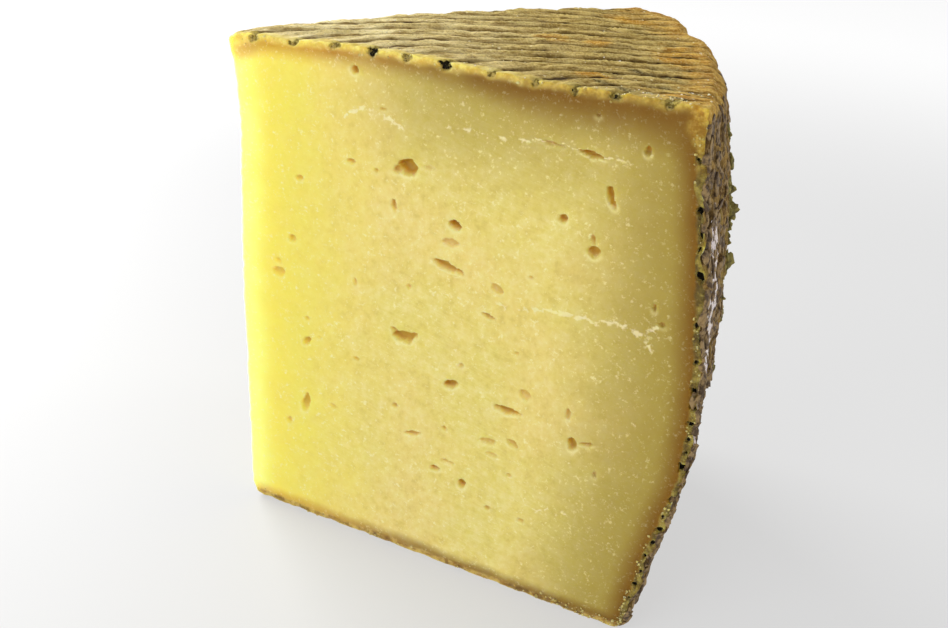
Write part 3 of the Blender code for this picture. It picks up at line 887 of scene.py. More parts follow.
    def bend_rind(self):
        """Rounds the shoulders, notches the rim, and presses the prints into the rind and the base."""
        x, y, z = self.bent
        near_side = smooth(1.0 - self.to_side / RIND_REACH)
        near_foot = smooth(1.0 - self.to_foot / BASE_REACH)
        shoulder = CUT_SHOULDER + (TOP_SHOULDER - CUT_SHOULDER) * ramp(self.angle, *CUT_SHOULDER_ENDS)
        shoulder -= (TOP_SHOULDER - FAR_SHOULDER) * ramp(self.angle, *FAR_SHOULDER_STARTS)
        inward_top, down = rounded(self.to_side, self.to_top, shoulder)
        inward_foot, up = rounded(self.to_side, self.to_foot, BASE_SHOULDER)
        notch = fade(np.abs(self.angle - NOTCH_ANGLE) / NOTCH_TURN) * NOTCH_DEPTH
        notch *= smooth((self.radius - 90.0) / 9.0) * smooth(1.0 - self.to_top / 9.0)
        z += up - down - 0.7 * notch

        lumps = creases(self.raw, (5.0, 5.0, 6.5), seed=51)
        crust = noise(self.raw, (2.6, 2.6, 4.2), 3, seed=53)
        relief = BELT_GROOVE * self.belt_groove + 0.75 * (1.0 - lumps)**2 + 0.32 * (0.8 - crust)
        inward = inward_top + inward_foot + notch + near_side * relief
        x -= inward * self.outward[0]
        y -= inward * self.outward[1]

        grain = noise(self.raw, 2.4, 3, seed=55)
        fibres = (1.0 - creases(self.plan, (12.0, 3.0, 1.0), seed=57))**3
        z -= self.near_top * (self.board_drop + 0.10 + 0.16 * grain + 0.35 * fibres)
        ribs = 0.75 * fade(from_line(self.board_phase) / 0.6)
        ribs *= 0.35 + 0.65 * smooth(np.minimum(self.to_first, self.to_second) / 6.0)
        z += near_foot * (ribs + 0.15 * np.abs(grain)) * smooth(self.to_side / 3.0)

    def bend_cuts(self):
        """Sinks eyes, pits and cracks into the cuts, which the knife left slightly uneven."""
        x, y, z = self.bent
        first = smooth(1.0 - self.to_first / CUT_REACH)
        second = smooth(1.0 - self.to_second / CUT_REACH)
        sweep = 0.16 * (1.0 + noise(self.raw, (24.0, 24.0, 16.0), 2, seed=61))
        texture = 0.05 * (1.0 + noise(self.raw, (3.0, 3.0, 2.0), 3, seed=63))
        crumbly = 0.10 * (1.0 + noise(self.raw, 1.6, 2, seed=65)) * fade((self.to_rind - 1.2) / 1.6)
        face = sweep + texture + crumbly
        holes = self.first_depth + 0.8 * self.first_pit_depth
        y += first * (face + 0.22 * self.crack) + smooth(1.0 - self.to_first / EYE_REACH) * holes
        holes = self.second_depth + 0.8 * TOP_PIT_DEPTH * self.second_pit
        deep = second * face + smooth(1.0 - self.to_second / EYE_REACH) * holes
        x += deep * math.sin(OPENING)
        y -= deep * math.cos(OPENING)

    def round_edges(self):
        """Takes the sharpness off the cuts' edges."""
        x, y, z = self.bent
        second_normal = math.sin(OPENING), -math.cos(OPENING)
        for to_cut, normal in ((self.to_first, (0.0, 1.0)), (self.to_second, second_normal)):
            for to_face, way_up in ((self.to_top, -1.0), (self.to_foot, 1.0), (self.to_side, 0.0)):
                off_cut, off_face = rounded(to_cut, to_face, EDGE_ROUND)
                x += off_cut * normal[0]
                y += off_cut * normal[1]
                z += off_face * way_up
                if way_up == 0.0:
                    x -= off_face * self.outward[0]
                    y -= off_face * self.outward[1]

    def bend_tip(self):
        """Blunts the tip's edge, and gives it its lips, its bow and its raised top."""
        x, y, z = self.bent
        from_edge = np.hypot(self.x + TIP_SETBACK, self.y)
        blunt = TIP_BLUNT * fade(from_edge / TIP_BLUNT_REACH)
        blunt *= 1.0 + 0.8 * noise(self.raw, (4.0, 4.0, 3.0), 2, seed=67)
        x += blunt * math.cos(0.5 * OPENING)
        y += blunt * math.sin(0.5 * OPENING)
        corner = fade(np.hypot(from_edge, self.z) / 4.5)
        x += 1.2 * corner
        z += 0.5 * corner
        rise = smooth((self.z - (HEIGHT - TIP_LIP_HEIGHT)) / TIP_LIP_HEIGHT)
        x -= TIP_LIP * rise * fade(self.radius / TIP_LIP_REACH)
        rind_lip = smooth(1.0 - self.to_top / TIP_RIND_LIP_HEIGHT) * smooth(self.to_top / 1.6 + 0.25)
        x -= TIP_RIND_LIP * rind_lip * fade(self.radius / TIP_RIND_LIP_REACH)
        x -= TIP_BOW * hump(self.z, *TIP_BOW_HEIGHTS) * fade(self.radius / TIP_BOW_REACH)
        raised = TIP_RAISE * fade(self.radius / TIP_RAISE_REACH)
        dip = TIP_DIP * hump(self.radius, *TIP_DIP_REACHES) * fade(self.to_first / 5.0)
        z += (raised - dip) * self.near_top

    def swell_side(self):
        """Lifts the rim by the first cut and swells it farther round, and flares the side low down."""
        x, y, z = self.bent
        near = fade(self.angle / RIM_LIFT_TURN) * smooth((self.radius - RIM_LIFT_START) / RIM_LIFT_RUN)
        z += RIM_LIFT * near * smooth((self.z - HEIGHT + RIM_LIFT_HEIGHT) / RIM_LIFT_HEIGHT)
        far = fade(np.abs(self.angle - RIM_BULGE_ANGLE) / RIM_BULGE_TURN)
        far *= smooth((self.radius - RIM_BULGE_START) / RIM_BULGE_RUN)
        bulge = RIM_BULGE * far * smooth((self.z - HEIGHT + RIM_BULGE_HEIGHT) / RIM_BULGE_HEIGHT)
        outer = smooth((self.radius - OUTER_START) / OUTER_RUN)
        for middle, turn, swell, down in RIM_LOBES:
            lobe = fade(np.abs(self.angle - middle) / turn) * smooth((self.z - HEIGHT + down) / down)
            bulge += swell * lobe * outer
        flare = LOW_FLARE * hump(self.z, *LOW_FLARE_HEIGHTS) * fade(self.angle / LOW_FLARE_TURN)
        hollow = LOW_HOLLOW * hump(self.angle, *LOW_HOLLOW_TURNS)
        hollow *= smooth((LOW_HOLLOW_TOP - self.z) / LOW_HOLLOW_RUN) * (0.3 + 0.7 * smooth(self.z / 14.0))
        bulge += (flare - hollow) * outer
        x += bulge * self.outward[0]
        y += bulge * self.outward[1]


def rounded(first, second, size):
    """How far a square corner's points move away from each of its two faces to make it round."""
    a = np.clip(1.0 - first / size, 0.0, 1.0)
    b = np.clip(1.0 - second / size, 0.0, 1.0)
    shrink = 1.0 - np.maximum(a, b) / np.maximum(np.hypot(a, b), 1e-9)
    return a * shrink * size, b * shrink * size


def middle_fields(points, faces, member):
    """The fields at the middles of the triangles."""
    return Fields(points[faces].mean(axis=1), member[faces].all(axis=1))


def fine_sector():
    """The plain sector, refined twice where the detail is finer than its first grid."""
    points, faces, member = plain_sector()
    here = middle_fields(points, faces, member)
    eyes = here.on_first & (here.first_near < FINE_EYE) | here.on_second & (here.second_near < FINE_FAR_EYE)
    band = (here.on_first | here.on_second) & (here.to_rind < FINE_BAND)
    edge = here.radius < FINE_TIP
    cracks = here.on_first & (here.crack > 0.02)
    rind = here.on_top | here.on_side & (here.to_first < FINE_SIDE)
    points, faces, member = refined(points, faces, member, eyes | band | edge | cracks | rind)
    here = middle_fields(points, faces, member)
    eyes = here.on_first & (here.first_near < FINEST_EYE)
    band = here.on_first & (here.to_rind < FINEST_BAND)
    painted_rim_highlight = (here.on_top | here.on_side) & (here.to_first < FINEST_BAND)
    return refined(points, faces, member, eyes | band | painted_rim_highlight)


def frame_shift():
    """Where the wheel's axis is in the frame of the solid, in metres."""
    low = cad_box[0]
    return np.array([low[0] + (TIP_SETBACK + TIP_LIP) * MM, low[1], low[2]])


def mesh_object(name, points, faces, shift=True):
    """An object from triangles and points in millimetres of the wheel or, without the shift, the frame."""
    mesh = bpy.data.meshes.new(name)
    places = points * MM + (frame_shift() if shift else 0.0)
    mesh.vertices.add(len(points))
    mesh.vertices.foreach_set("co", places.astype(np.float32).ravel())
    mesh.loops.add(len(faces) * 3)
    mesh.loops.foreach_set("vertex_index", faces.astype(np.int32).ravel())
    mesh.polygons.add(len(faces))
    mesh.polygons.foreach_set("loop_start", np.arange(0, len(faces) * 3, 3, dtype=np.int32))
    mesh.update(calc_edges=True)
    mesh.validate()
    mesh.shade_smooth()
    obj = bpy.data.objects.new(name, mesh)
    bpy.context.scene.collection.objects.link(obj)
    return obj


def add_masks(mesh, masks):
    """Puts the masks on the mesh as attributes of its points."""
    for name, values in masks.items():
        layer = mesh.attributes.new(name, "FLOAT", "POINT")
        layer.data.foreach_set("value", values.astype(np.float32))


def colour(red, green, blue):
    """A colour given as it looks on a screen, from 0 to 255, as linear light."""
    def linear(value):
        value /= 255.0
        return value / 12.92 if value <= 0.04045 else ((value + 0.055) / 1.055)**2.4
    return (linear(red), linear(green), linear(blue), 1.0)


class Graph:
    """Short calls for building a material's nodes."""

    def __init__(self, name):
        self.material = bpy.data.materials.new(name)
        self.material.use_nodes = True
        self.tree = self.material.node_tree
        self.shader = self.tree.nodes["Principled BSDF"]
        self.place = self.node("TexCoord").outputs["Object"]

    def put(self, socket, value):
        """Links a socket to the output of another node, or sets its value."""
        if isinstance(value, bpy.types.NodeSocket):
            self.tree.links.new(value, socket)
        else:
            socket.default_value = value

    def node(self, kind, *values, operation=None):
        """A new node, with its first sockets filled in turn."""
        node = self.tree.nodes.new("ShaderNode" + kind)
        if operation:
            node.operation = operation
        for socket, value in zip(node.inputs, values):
            self.put(socket, value)
        return node

    def shaded(self, values):
        """The material, with sockets of its shader filled by name."""
        for name, value in values.items():
            self.put(self.shader.inputs[name], value)
        return self.material

    def mask(self, name, share=None):
        """A mask of the mesh, or so many times the mask."""
        node = self.node("Attribute")
        node.attribute_name = name
        return self.times(node.outputs["Fac"], share) if share else node.outputs["Fac"]

    def maths(self, operation, *values):
        return self.node("Math", *values, operation=operation).outputs[0]

    def times(self, first, second):
        return self.maths("MULTIPLY", first, second)

    def plus(self, first, second):
        return self.maths("ADD", first, second)

    def minus(self, first, second):
        return self.maths("SUBTRACT", first, second)

    def step(self, value, low, high, to_low=0.0, to_high=1.0):
        """A soft step from one value to another between low and high."""
        node = self.node("MapRange", value, low, high, to_low, to_high)
        node.interpolation_type = "SMOOTHSTEP"
        return node.outputs["Result"]

    def noise(self, size, detail=3.0, roughness=0.5, stretch=(1.0, 1.0, 1.0), vector=None):
        """Noise of 0 to 1 whose coarsest spots are about size millimetres across."""
        unit = 1.0 / size if vector else 1.0 / (size * MM)
        scales = [unit / part for part in stretch]
        scaled = self.node("VectorMath", vector or self.place, scales, operation="MULTIPLY")
        node = self.node("TexNoise", scaled.outputs[0])
        node.inputs["Scale"].default_value = 1.0
        node.inputs["Detail"].default_value = detail
        node.inputs["Roughness"].default_value = roughness
        return node.outputs["Fac"]

    def spots(self, size, radius, softness):
        """Uneven spots, one in each cell of about size millimetres, of mixed sizes up to radius."""
        bent = self.node("TexNoise", self.place)
        bent.inputs["Scale"].default_value = 1.6 / (radius * MM)
        bent.inputs["Detail"].default_value = 2.0
        wobble = [0.7 * radius * MM] * 3
        moved = self.node("VectorMath", bent.outputs["Color"], wobble, self.place, operation="MULTIPLY_ADD")
        cells = self.node("TexVoronoi", moved.outputs[0])
        cells.inputs["Scale"].default_value = 1.0 / (size * MM)
        own = self.node("SeparateColor", cells.outputs["Color"])
        limit = self.times(self.maths("POWER", own.outputs[0], 2.2), radius / size)
        gap = self.minus(limit, cells.outputs["Distance"])
        return self.times(self.step(gap, 0.0, softness / size), own.outputs[1])

    def streaks(self, size, length, angle):
        """Noise of 0 to 1 in thin streaks on the first cut, at an angle from level."""
        apart = self.node("SeparateXYZ", self.place)
        x, z = apart.outputs[0], apart.outputs[2]
        cosine, sine = math.cos(angle) / MM, math.sin(angle) / MM
        along = self.plus(self.times(x, cosine), self.times(z, sine))
        across = self.minus(self.times(z, cosine), self.times(x, sine))
        vector = self.node("CombineXYZ", along, across).outputs[0]
        return self.noise(size, 3.0, 0.6, stretch=(length / size, 1.0, 1.0), vector=vector)

    def fibres(self, size, detail, roughness, stretch):
        """Noise of 0 to 1 that is drawn out along the ribs of the top."""
        along, across = self.mask("board_along"), self.mask("board", BOARD_PITCH)
        vector = self.node("CombineXYZ", along, across).outputs[0]
        return self.noise(size, detail, roughness, stretch=(stretch, 1.0, 1.0), vector=vector)

    def mix(self, share, first, second):
        """A colour between two others."""
        node = self.node("Mix", share)
        node.data_type = "RGBA"
        self.put(node.inputs[6], first)
        self.put(node.inputs[7], second)
        return node.outputs[2]

    def blend(self, share, first, second):
        """A number between two others."""
        node = self.node("Mix", share)
        self.put(node.inputs[2], first)
        self.put(node.inputs[3], second)
        return node.outputs[0]

    def tones(self, share, first, second):
        """A colour between two others that are given as they look on a screen."""
        return self.mix(share, colour(*first), colour(*second))

    def layers(self, base, *layers):
        """Colours, given as they look on a screen, laid over a base in turn, each by its share."""
        for share, tone in layers:
            base = self.mix(share, base, colour(*tone))
        return base

    def bump(self, height, distance, strength):
        """The way the surface faces, from a height that is given as a share of distance."""
        node = self.node("Bump")
        self.put(node.inputs["Distance"], distance * MM)
        self.put(node.inputs["Strength"], strength)
        self.put(node.inputs["Height"], height)
        return node.outputs[0]


def paste_colour(graph):
    """Colour of the cuts: pale yellow paste, darker to the rind partly by painted shade, with flecks, cracks
    and eyes, painted light at the tip, painted shade in the eyes and painted highlights below them.
    """
    mask, step, times = graph.mask, graph.step, graph.times
    broad = graph.noise(30.0, 2.0)
    mottled = graph.noise(2.2, 4.0, 0.66)
    drawn = times(graph.streaks(0.5, 9.0, KNIFE_ANGLE), step(broad, 0.4, 0.6, 0.5, 1.0))
    base = graph.layers(
        graph.tones(step(broad, 0.35, 0.65), (240, 219, 134), (234, 218, 122)),
        (step(mottled, 0.44, 0.74, 0.0, 0.5), (250, 238, 172)),
        (step(mottled, 0.26, 0.50, 0.34, 0.0), (202, 176, 72)),
        (step(drawn, 0.42, 0.62, 0.0, 0.16), (252, 240, 180)),
        # Painted light: the tip is painted yellower and its edge near white, for the lamp behind shining
        # through the thin tip.
        (mask("tip"), (253, 236, 98)),
        (mask("painted_backlight_glow"), (255, 255, 158)),
        # Olive towards the side rind: partly the paste's own colour, partly painted shade.
        (mask("olive", 0.92), (174, 152, 68)),
    )
    # Amber darker towards the rim: partly its own colour, partly painted shade away from the lit tip.
    amber = graph.tones(step(mask("reach"), 0.08, 0.55), (192, 124, 14), (134, 92, 12))
    base = graph.mix(mask("amber", 0.94), base, amber)
    fine = graph.noise(0.8, 4.0, 0.66)
    fleck = graph.plus(graph.noise(1.4, 4.0, 0.66), mask("pale", 0.10))
    crack = graph.plus(mask("pale"), graph.minus(fine, 0.5))
    calm = times(graph.minus(1.0, mask("olive", 0.5)), graph.minus(1.0, mask("amber", 0.6)))
    base = graph.layers(
        base,
        (times(step(fleck, 0.59, 0.72, 0.0, 0.75), calm), (253, 244, 186)),
        (times(step(fine, 0.575, 0.70, 0.0, 0.55), calm), (253, 244, 186)),
        (step(crack, 0.42, 0.90, 0.0, 0.75), (252, 242, 192)),
        (times(times(graph.spots(4.4, 0.75, 0.9), 0.42), calm), (252, 244, 190)),
        # Painted highlight on the lower rims of the eyes.
        (mask("painted_rim_highlight", 0.6), (250, 240, 176)),
        # Painted shade: eyes painted a darker, warmer brown the deeper they are, most of all in their upper
        # parts.
        (step(mask("eye"), 0.05, 0.7, 0.0, 0.88), (212, 166, 50)),
    )
    return cut_rind_colour(graph, base)


def cut_rind_colour(graph, paste):
    """The rind where a cut shows it: creamy at the top, gold at the outer corner, olive down the side."""
    mask, step, mix, tones = graph.mask, graph.step, graph.mix, graph.tones
    light = step(graph.noise(1.6, 4.0, 0.6), 0.32, 0.70)
    coarse = graph.noise(3.4, 4.0, 0.62)
    # The rind's section is darker towards the rim: partly its own colour, partly painted shade.
    inner_cream = tones(light, (212, 182, 84), (240, 222, 132))
    outer_cream = tones(light, (146, 116, 40), (196, 168, 74))
    cream = mix(step(mask("reach"), 0.46, 0.80, 0.0, 0.85), inner_cream, outer_cream)
    olive = tones(light, (112, 92, 36), (186, 166, 84))
    olive = graph.layers(olive, (step(coarse, 0.48, 0.60, 0.0, 0.8), (88, 70, 34)))
    gold = tones(light, (166, 122, 36), (222, 192, 90))
    foot = tones(light, (148, 108, 48), (212, 182, 104))
    foot = graph.layers(foot, (step(coarse, 0.50, 0.62, 0.0, 0.7), (98, 70, 34)))
    surface = mix(mask("cream_top", 0.9), paste, cream)
    surface = mix(mask("cream_side", 0.94), surface, mix(mask("corner"), olive, gold))
    return mix(mask("cream_foot", 0.9), surface, foot)


def top_rind_colour(graph):
    """Colour of the top: fibrous ribs with dark broken grooves that are partly painted shade, mould in them,
    orange patches, and a pale end by the tip that is partly painted light.
    """
    mask, step, times, mix, tones = graph.mask, graph.step, graph.times, graph.mix, graph.tones
    streak = graph.fibres(1.5, 3.0, 0.62, 3.6)
    broken = graph.fibres(1.8, 4.0, 0.68, 3.0)
    grain = graph.noise(0.5, 2.0, 0.6)
    patch = graph.noise(8.0, 3.0, 0.6)
    light = step(streak, 0.36, 0.62)
    olive = tones(light, (148, 122, 62), (202, 176, 106))
    olive = graph.layers(olive, (step(patch, 0.42, 0.66, 0.0, 0.55), (148, 128, 74)))
    worn = tones(light, (176, 118, 30), (212, 164, 66))
    pale = tones(step(streak, 0.36, 0.60), (206, 182, 120), (246, 232, 178))
    # Paler towards the tip: partly ashy bloom, partly painted light.
    base = mix(mask("ashy_bloom_and_painted_light", 0.9), mix(mask("orange", 0.8), olive, worn), pale)
    base = graph.layers(
        base,
        (step(grain, 0.50, 0.66, 0.0, 0.4), (226, 206, 138)),
        (step(grain, 0.34, 0.46, 0.35, 0.0), (92, 70, 36)),
    )
    mould_tone = tones(step(grain, 0.38, 0.60), (70, 58, 30), (150, 138, 92))
    base = mix(mask("dark", 0.85), base, mould_tone)
    jagged = times(graph.minus(streak, 0.5), 0.30)
    fold = graph.maths("PINGPONG", mask("board"), 0.5)
    phase = graph.plus(fold, jagged)
    inner = step(mask("reach"), 0.90, 0.99, 1.0, 0.3)
    third = graph.plus(graph.maths("ABSOLUTE", graph.minus(fold, 0.30)), jagged)
    third = times(times(step(third, 0.0, 0.06, 0.8, 0.0), inner), step(broken, 0.46, 0.60))
    # Partly painted shade: the ribs are darkened towards the grooves and along the side lines between them.
    base = graph.layers(
        base,
        (times(step(phase, 0.06, 0.30, 0.6, 0.0), inner), (98, 74, 34)),
        (times(third, 0.6), (92, 68, 34)),
    )
    # Dark broken lines in the grooves: partly dark mould, partly painted shade of the grooves.
    line = times(step(phase, 0.05, 0.14, 1.0, 0.0), inner)
    line = times(line, step(broken, 0.36, 0.54, 0.25, 1.0))
    # The groove lines also turn paler towards the tip, which is partly painted light.
    base = mix(times(line, 0.95), base, tones(mask("ashy_bloom_and_painted_light"), (44, 28, 10), (104, 80, 50)))
    base = graph.layers(base, (times(graph.spots(1.5, 0.42, 0.2), 0.85), (240, 226, 176)))
    cream = tones(step(broken, 0.3, 0.7), (212, 182, 84), (242, 226, 146))
    return mix(times(mask("rim_cream"), step(mask("reach"), 0.45, 0.85, 0.9, 0.2)), base, cream)


def side_rind_colour(graph):
    """Colour of the side: brown and mauve crust with moss, dark grooves, and near-white painted glints in
    streaks on its damp patches.
    """
    mask, step, times = graph.mask, graph.step, graph.times
    crust = graph.noise(2.2, 4.0, 0.68, stretch=(1.0, 1.0, 2.6))
    grain = graph.noise(0.7, 3.0, 0.62)
    painted_glint_streaks = graph.noise(1.0, 4.0, 0.7, stretch=(1.0, 1.0, 3.4))
    bloom = step(graph.noise(5.0, 4.0, 0.7), 0.56, 0.72)
    return graph.layers(
        graph.tones(step(crust, 0.36, 0.62), (78, 56, 26), (158, 126, 70)),
        (mask("mauve", 0.4), (120, 86, 54)),
        (times(times(mask("moss"), step(crust, 0.42, 0.54)), 0.55), (126, 112, 52)),
        (step(grain, 0.52, 0.66, 0.0, 0.5), (180, 152, 98)),
        (step(grain, 0.34, 0.46, 0.45, 0.0), (58, 42, 22)),
        (step(mask("belt_groove"), 0.25, 0.9, 0.0, 0.75), (50, 38, 20)),
        (times(bloom, 0.35), (178, 154, 92)),
        # Painted highlight: near-white glints painted in streaks on the damp patches.
        (times(step(painted_glint_streaks, 0.45, 0.50), step(mask("wet_with_painted_glints"), 0.10, 0.40)), (252, 238, 232)),
    )


def foot_colour(graph):
    """Colour of the base: tan rind with darker lines where the board pressed."""
    tone = graph.step(graph.noise(5.0, 4.0, 0.6), 0.35, 0.65)
    line = graph.step(graph.maths("PINGPONG", graph.mask("board"), 0.5), 0.04, 0.2, 0.7, 0.0)
    return graph.layers(graph.tones(tone, (150, 118, 66), (204, 180, 118)), (line, (88, 68, 40)))


def finished(graph, surface, roughness, inside, shine, height):
    """Sets up a material of the wedge, with mould and the black hearts of the edge pits over its colour."""
    speckled = graph.noise(0.75, 3.0, 0.6)
    mould_tone = graph.tones(graph.step(speckled, 0.38, 0.62), (98, 84, 36), (190, 172, 98))
    mould = graph.step(graph.mask("mould"), 0.15, 0.8, 0.0, 0.9)
    black = graph.plus(graph.mask("black"), graph.minus(speckled, 0.5))
    surface = graph.mix(mould, surface, mould_tone)
    return graph.shaded({
        "Base Color": graph.layers(surface, (graph.step(black, 0.62, 0.80), (26, 22, 12))),
        "Roughness": roughness,
        "Subsurface Weight": inside,
        "Subsurface Radius": PASTE_RADIUS,
        "Subsurface Scale": PASTE_LENGTH * MM,
        "IOR": PASTE_IOR,
        "Specular IOR Level": graph.blend(mould, shine, 0.03),
        "Normal": graph.bump(height, 0.45, 0.85),
    })


def paste_material():
    """The cut faces."""
    graph = Graph("aged_paste")
    satin = graph.step(graph.noise(3.0, 2.0, 0.6), 0.3, 0.7, 0.34, 0.52)
    grit = graph.times(graph.noise(0.5, 3.0, 0.7), 0.3)
    crumb = graph.times(graph.noise(1.8, 4.0, 0.65), 0.35)
    height = graph.times(graph.plus(grit, crumb), graph.blend(graph.mask("cream_side"), 1.0, 3.0))
    return finished(graph, paste_colour(graph), satin, 1.0, 0.2, height)


def rind_material():
    """The top, the side and the base."""
    graph = Graph("aged_rind")
    surface = graph.mix(graph.mask("side"), top_rind_colour(graph), side_rind_colour(graph))
    surface = graph.mix(graph.mask("foot"), surface, foot_colour(graph))
    dry = graph.step(graph.noise(1.5, 2.0, 0.6), 0.3, 0.7, 0.7, 0.95)
    dry = graph.blend(graph.mask("wet_with_painted_glints"), dry, 0.16)
    shine = graph.blend(graph.mask("wet_with_painted_glints"), 0.1, 0.5)
    fibrous = graph.fibres(1.1, 3.0, 0.64, 3.2)
    crusty = graph.times(graph.noise(1.6, 4.0, 0.7, stretch=(1.0, 1.0, 2.4)), 1.7)
    relief = graph.blend(graph.mask("side"), fibrous, crusty)
    height = graph.plus(relief, graph.times(graph.noise(0.5, 3.0, 0.7), 0.5))
    return finished(graph, surface, dry, 0.15, shine, height)


def build_wedge():
    """The wedge's fine mesh, with its fields for the pieces that lie on it."""
    points, faces, member = fine_sector()
    fields = Fields(points, member)
    wedge = mesh_object("cheese_wedge_fine", fields.shaped(), faces)
    add_masks(wedge.data, fields.masks())
    wedge.data.materials.append(paste_material())
    wedge.data.materials.append(rind_material())
    on_rind = member[faces].all(axis=1)[:, 2:].any(axis=1)
    wedge.data.polygons.foreach_set("material_index", on_rind.astype(np.int32))
    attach(wedge, BODY)
    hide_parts(NODE)
    return wedge, fields


def plain_material(name, dark, light, size, roughness, inside):
    """A mottled material for the small pieces."""
    graph = Graph(name)
    return graph.shaded({
        "Base Color": graph.tones(graph.step(graph.noise(size, 3.0, 0.6), 0.38, 0.62), dark, light),
        "Roughness": roughness,
        "Subsurface Weight": inside,
        "Subsurface Radius": PASTE_RADIUS,
        "Subsurface Scale": CRUMB_LENGTH * MM,
    })


def ball(splits):
    """Points and triangles of a ball of radius one."""
    shape = bmesh.new()
    bmesh.ops.create_icosphere(shape, subdivisions=splits, radius=1.0)
    points = np.array([vertex.co[:] for vertex in shape.verts])
    faces = np.array([[vertex.index for vertex in face.verts] for face in shape.faces])
    shape.free()
    return points, faces


def scatter(name, material, places, splits, seed, dented=0.45):
    """One object of many uneven chips. Each has a place, the way out, the way up, and three half sizes."""
    rng = np.random.default_rng(seed)
    chip_points, chip_faces = ball(splits)
    points = []
    faces = []
    for number, (place, out, up, sizes) in enumerate(places):
        out = out / np.linalg.norm(out)
        across = np.cross(up, out)
        across /= max(np.linalg.norm(across), 1e-6)
        up = np.cross(out, across)
        dents = 1.0 + dented * noise(chip_points + rng.uniform(0.0, 50.0, 3), 0.9, 3, seed=seed)
        local = chip_points * dents[:, None] * np.array(sizes)
        points.append(place + local[:, :1] * across + local[:, 1:2] * up + local[:, 2:] * out)
        faces.append(chip_faces + number * len(chip_points))
    piece = mesh_object(name, np.vstack(points), np.vstack(faces), shift=False)
    piece.data.materials.append(material)
    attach(piece, BODY)
    return piece


def surface_places(wedge):
    """Points of the wedge's mesh in millimetres of the frame, and the ways out of its surface."""
    count = len(wedge.data.vertices)
    points = np.empty(count * 3, np.float32)
    normals = np.empty(count * 3, np.float32)
    wedge.data.vertices.foreach_get("co", points)
    wedge.data.vertices.foreach_get("normal", normals)
    return points.reshape(-1, 3).astype(float) / MM, normals.reshape(-1, 3).astype(float)


def chosen(rng, weight, number):
    """Numbers of mesh points picked at random, each by its weight."""
    return rng.choice(len(weight), size=number, replace=False, p=weight / weight.sum())


def half_sizes(rng, across, up, out):
    """Random half sizes of a chip: its size across, and its sizes up and outwards as shares of that."""
    size = rng.uniform(*across)
    return size, size * rng.uniform(*up), size * rng.uniform(*out)


def add_side_chips(fields, points, normals, side, rng):
    """Crusty chips all over the side rind, most of them near the first cut and between the grooves."""
    weight = side * (0.25 + fade(fields.to_first / 45.0)) * (1.0 - 0.8 * np.clip(fields.belt_groove, 0, 1))
    places = []
    for index in chosen(rng, weight, SIDE_CHIPS):
        half = half_sizes(rng, (0.35, 0.95), (1.0, 2.4), (0.25, 0.55))
        places.append((points[index], normals[index], UPRIGHT, half))
    brown = plain_material("rind_crust", (78, 58, 36), (158, 130, 84), 1.4, 0.7, 0.1)
    scatter("rind_chips", brown, places, 2, 71)


def add_side_flakes(fields, points, normals, side, rng):
    """Green and brown flakes that stand out from the side rind, with crumbs around them."""
    places = []
    for height, degrees, wide, tall, stand in SIDE_FLAKES:
        away = np.abs(fields.z - height) + np.abs(np.degrees(fields.angle) - degrees) * 1.8
        index = np.argmin(np.where(side, away, 1e9))
        leaning = UPRIGHT + rng.uniform(-0.5, 0.5) * normals[index]
        places.append((points[index], normals[index], leaning, (0.45 * wide, 0.5 * tall, stand)))
        for _ in range(FLAKE_CRUMBS):
            near = points[index] + rng.normal(0.0, 0.5, 3) * (wide, wide, tall)
            nearest = np.argmin(np.where(side, np.sum((points - near)**2, axis=1), 1e9))
            half = half_sizes(rng, (0.2, 0.55), (1.0, 2.6), (0.8, 1.8))
            places.append((points[nearest], normals[nearest], UPRIGHT + rng.normal(0.0, 0.3, 3), half))
    green = plain_material("rind_moss", (92, 82, 36), (150, 138, 66), 1.2, 0.75, 0.2)
    scatter("rind_flakes", green, places, 3, 73, dented=0.8)


def add_edge_crumbs(fields, points, normals, rng):
    """Crumbs of paste along the first cut's edges, most of them at its lower outer corner."""
    band = fields.on_first & (fields.to_rind < 2.6) & (fields.to_rind > 0.2) & (fields.first_pit < 0.4)
    busy = 0.15 + smooth((noise(fields.raw, 8.0, 2, seed=75) - 0.1) / 0.4)
    busy += 2.0 * (fields.z < 12.0) * (fields.x > 78.0)
    places = []
    for index in chosen(rng, band * busy, EDGE_CRUMBS):
        half = half_sizes(rng, (0.10, 0.30), (0.7, 1.5), (0.5, 0.9))
        places.append((points[index], normals[index], rng.normal(size=3), half))
    cream = plain_material("paste_crumb", (186, 156, 76), (230, 212, 134), 0.8, 0.55, 0.7)
    scatter("edge_crumbs", cream, places, 2, 77)


def add_top_crystals(fields, points, normals, rng):
    """Salt crystals on the top rind, most of them near its rim by the first cut."""
    top = fields.on_top & (fields.to_side > 0.4) & (fields.radius > 30.0)
    rich = 0.12 + smooth((fields.radius - 70.0) / 25.0) * fade(fields.to_first / 40.0)
    rich += 0.8 * fade(np.hypot(fields.x - 96.6, fields.y - 14.0) / 7.0)
    places = []
    for index in chosen(rng, top * rich, TOP_CRYSTALS):
        size = rng.uniform(0.09, 0.22)
        places.append((points[index], normals[index], rng.normal(size=3), (size, size * 1.3, size)))
    salt = plain_material("salt_crystal", (206, 178, 116), (246, 234, 196), 0.6, 0.25, 0.6)
    scatter("rind_crystals", salt, places, 1, 79)


def add_small_pieces(wedge, fields):
    """Chips and flakes of the side rind, crumbs along the cut's edges, and crystals on the top rind."""
    points, normals = surface_places(wedge)
    rng = np.random.default_rng(FLAKE_SEED)
    side = fields.on_side & ~fields.on_first & ~fields.on_second
    side &= (fields.to_top > 2.0) & (fields.to_foot > 1.0)
    add_side_chips(fields, points, normals, side, rng)
    add_side_flakes(fields, points, normals, side, rng)
    add_edge_crumbs(fields, points, normals, rng)
    add_top_crystals(fields, points, normals, rng)


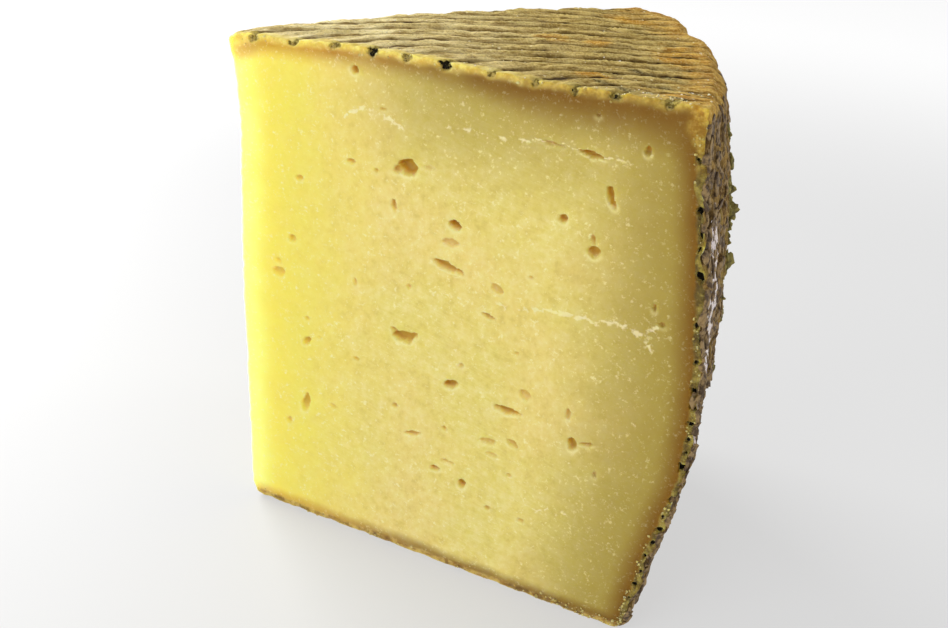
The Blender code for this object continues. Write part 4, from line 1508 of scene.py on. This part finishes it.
def add_camera():
    """The photo's camera."""
    level = math.cos(CAMERA_PITCH)
    forward = Vector((-math.sin(CAMERA_YAW) * level, math.cos(CAMERA_YAW) * level, -math.sin(CAMERA_PITCH)))
    right = Vector((math.cos(CAMERA_YAW), math.sin(CAMERA_YAW), 0.0))
    up = right.cross(forward)
    turned_right = math.cos(CAMERA_ROLL) * right + math.sin(CAMERA_ROLL) * up
    turned_up = math.cos(CAMERA_ROLL) * up - math.sin(CAMERA_ROLL) * right
    data = bpy.data.cameras.new("camera")
    data.sensor_width = SENSOR_WIDTH
    data.lens = SENSOR_WIDTH * PHOTO_FOCAL / PHOTO_WIDTH
    data.clip_start = 0.01
    camera = bpy.data.objects.new("camera", data)
    place = Vector(frame_shift() + np.array(CAMERA_FROM_AXIS) * MM)
    rotation = Matrix((turned_right, turned_up, -forward)).transposed()
    camera.matrix_world = Matrix.Translation(place) @ rotation.to_4x4()
    bpy.context.scene.collection.objects.link(camera)
    bpy.context.scene.camera = camera


def add_lamp(name, place, size, watts):
    data = bpy.data.lights.new(name, "AREA")
    data.shape = "RECTANGLE"
    data.size, data.size_y = size
    data.energy = watts
    lamp = bpy.data.objects.new(name, data)
    lamp.location = place
    lamp.rotation_euler = (Vector(LAMP_TARGET) - Vector(place)).to_track_quat("-Z", "Y").to_euler()
    bpy.context.scene.collection.objects.link(lamp)


def add_floor():
    """A plain pale floor that glows a little more away from the wedge, so that it ends in white."""
    bpy.ops.mesh.primitive_circle_add(vertices=96, radius=FLOOR_RADIUS, fill_type="TRIFAN")
    floor = bpy.context.object
    floor.name = "floor"
    graph = Graph("floor")
    away = graph.node("VectorMath", graph.place, operation="LENGTH").outputs["Value"]
    floor.data.materials.append(graph.shaded({
        "Base Color": (FLOOR_GREY, FLOOR_GREY, FLOOR_GREY, 1.0),
        "Roughness": 0.6,
        "Emission Color": (1.0, 1.0, 1.0, 1.0),
        "Emission Strength": graph.step(away, *FLOOR_DISTANCES, *FLOOR_GLOW),
    }))


def add_studio():
    """Even white surroundings, a strong lamp from behind on the left, two weaker ones, and the floor."""
    world = bpy.data.worlds.new("studio")
    world.use_nodes = True
    background = world.node_tree.nodes["Background"]
    background.inputs["Color"].default_value = (1.0, 1.0, 1.0, 1.0)
    background.inputs["Strength"].default_value = WORLD_LIGHT
    bpy.context.scene.world = world
    for lamp in LAMPS:
        add_lamp(*lamp)
    add_floor()


def main():
    bpy.context.scene.view_settings.view_transform = "Standard"
    wedge, fields = build_wedge()
    add_small_pieces(wedge, fields)
    add_camera()
    add_studio()
    bpy.context.view_layer.update()


main()
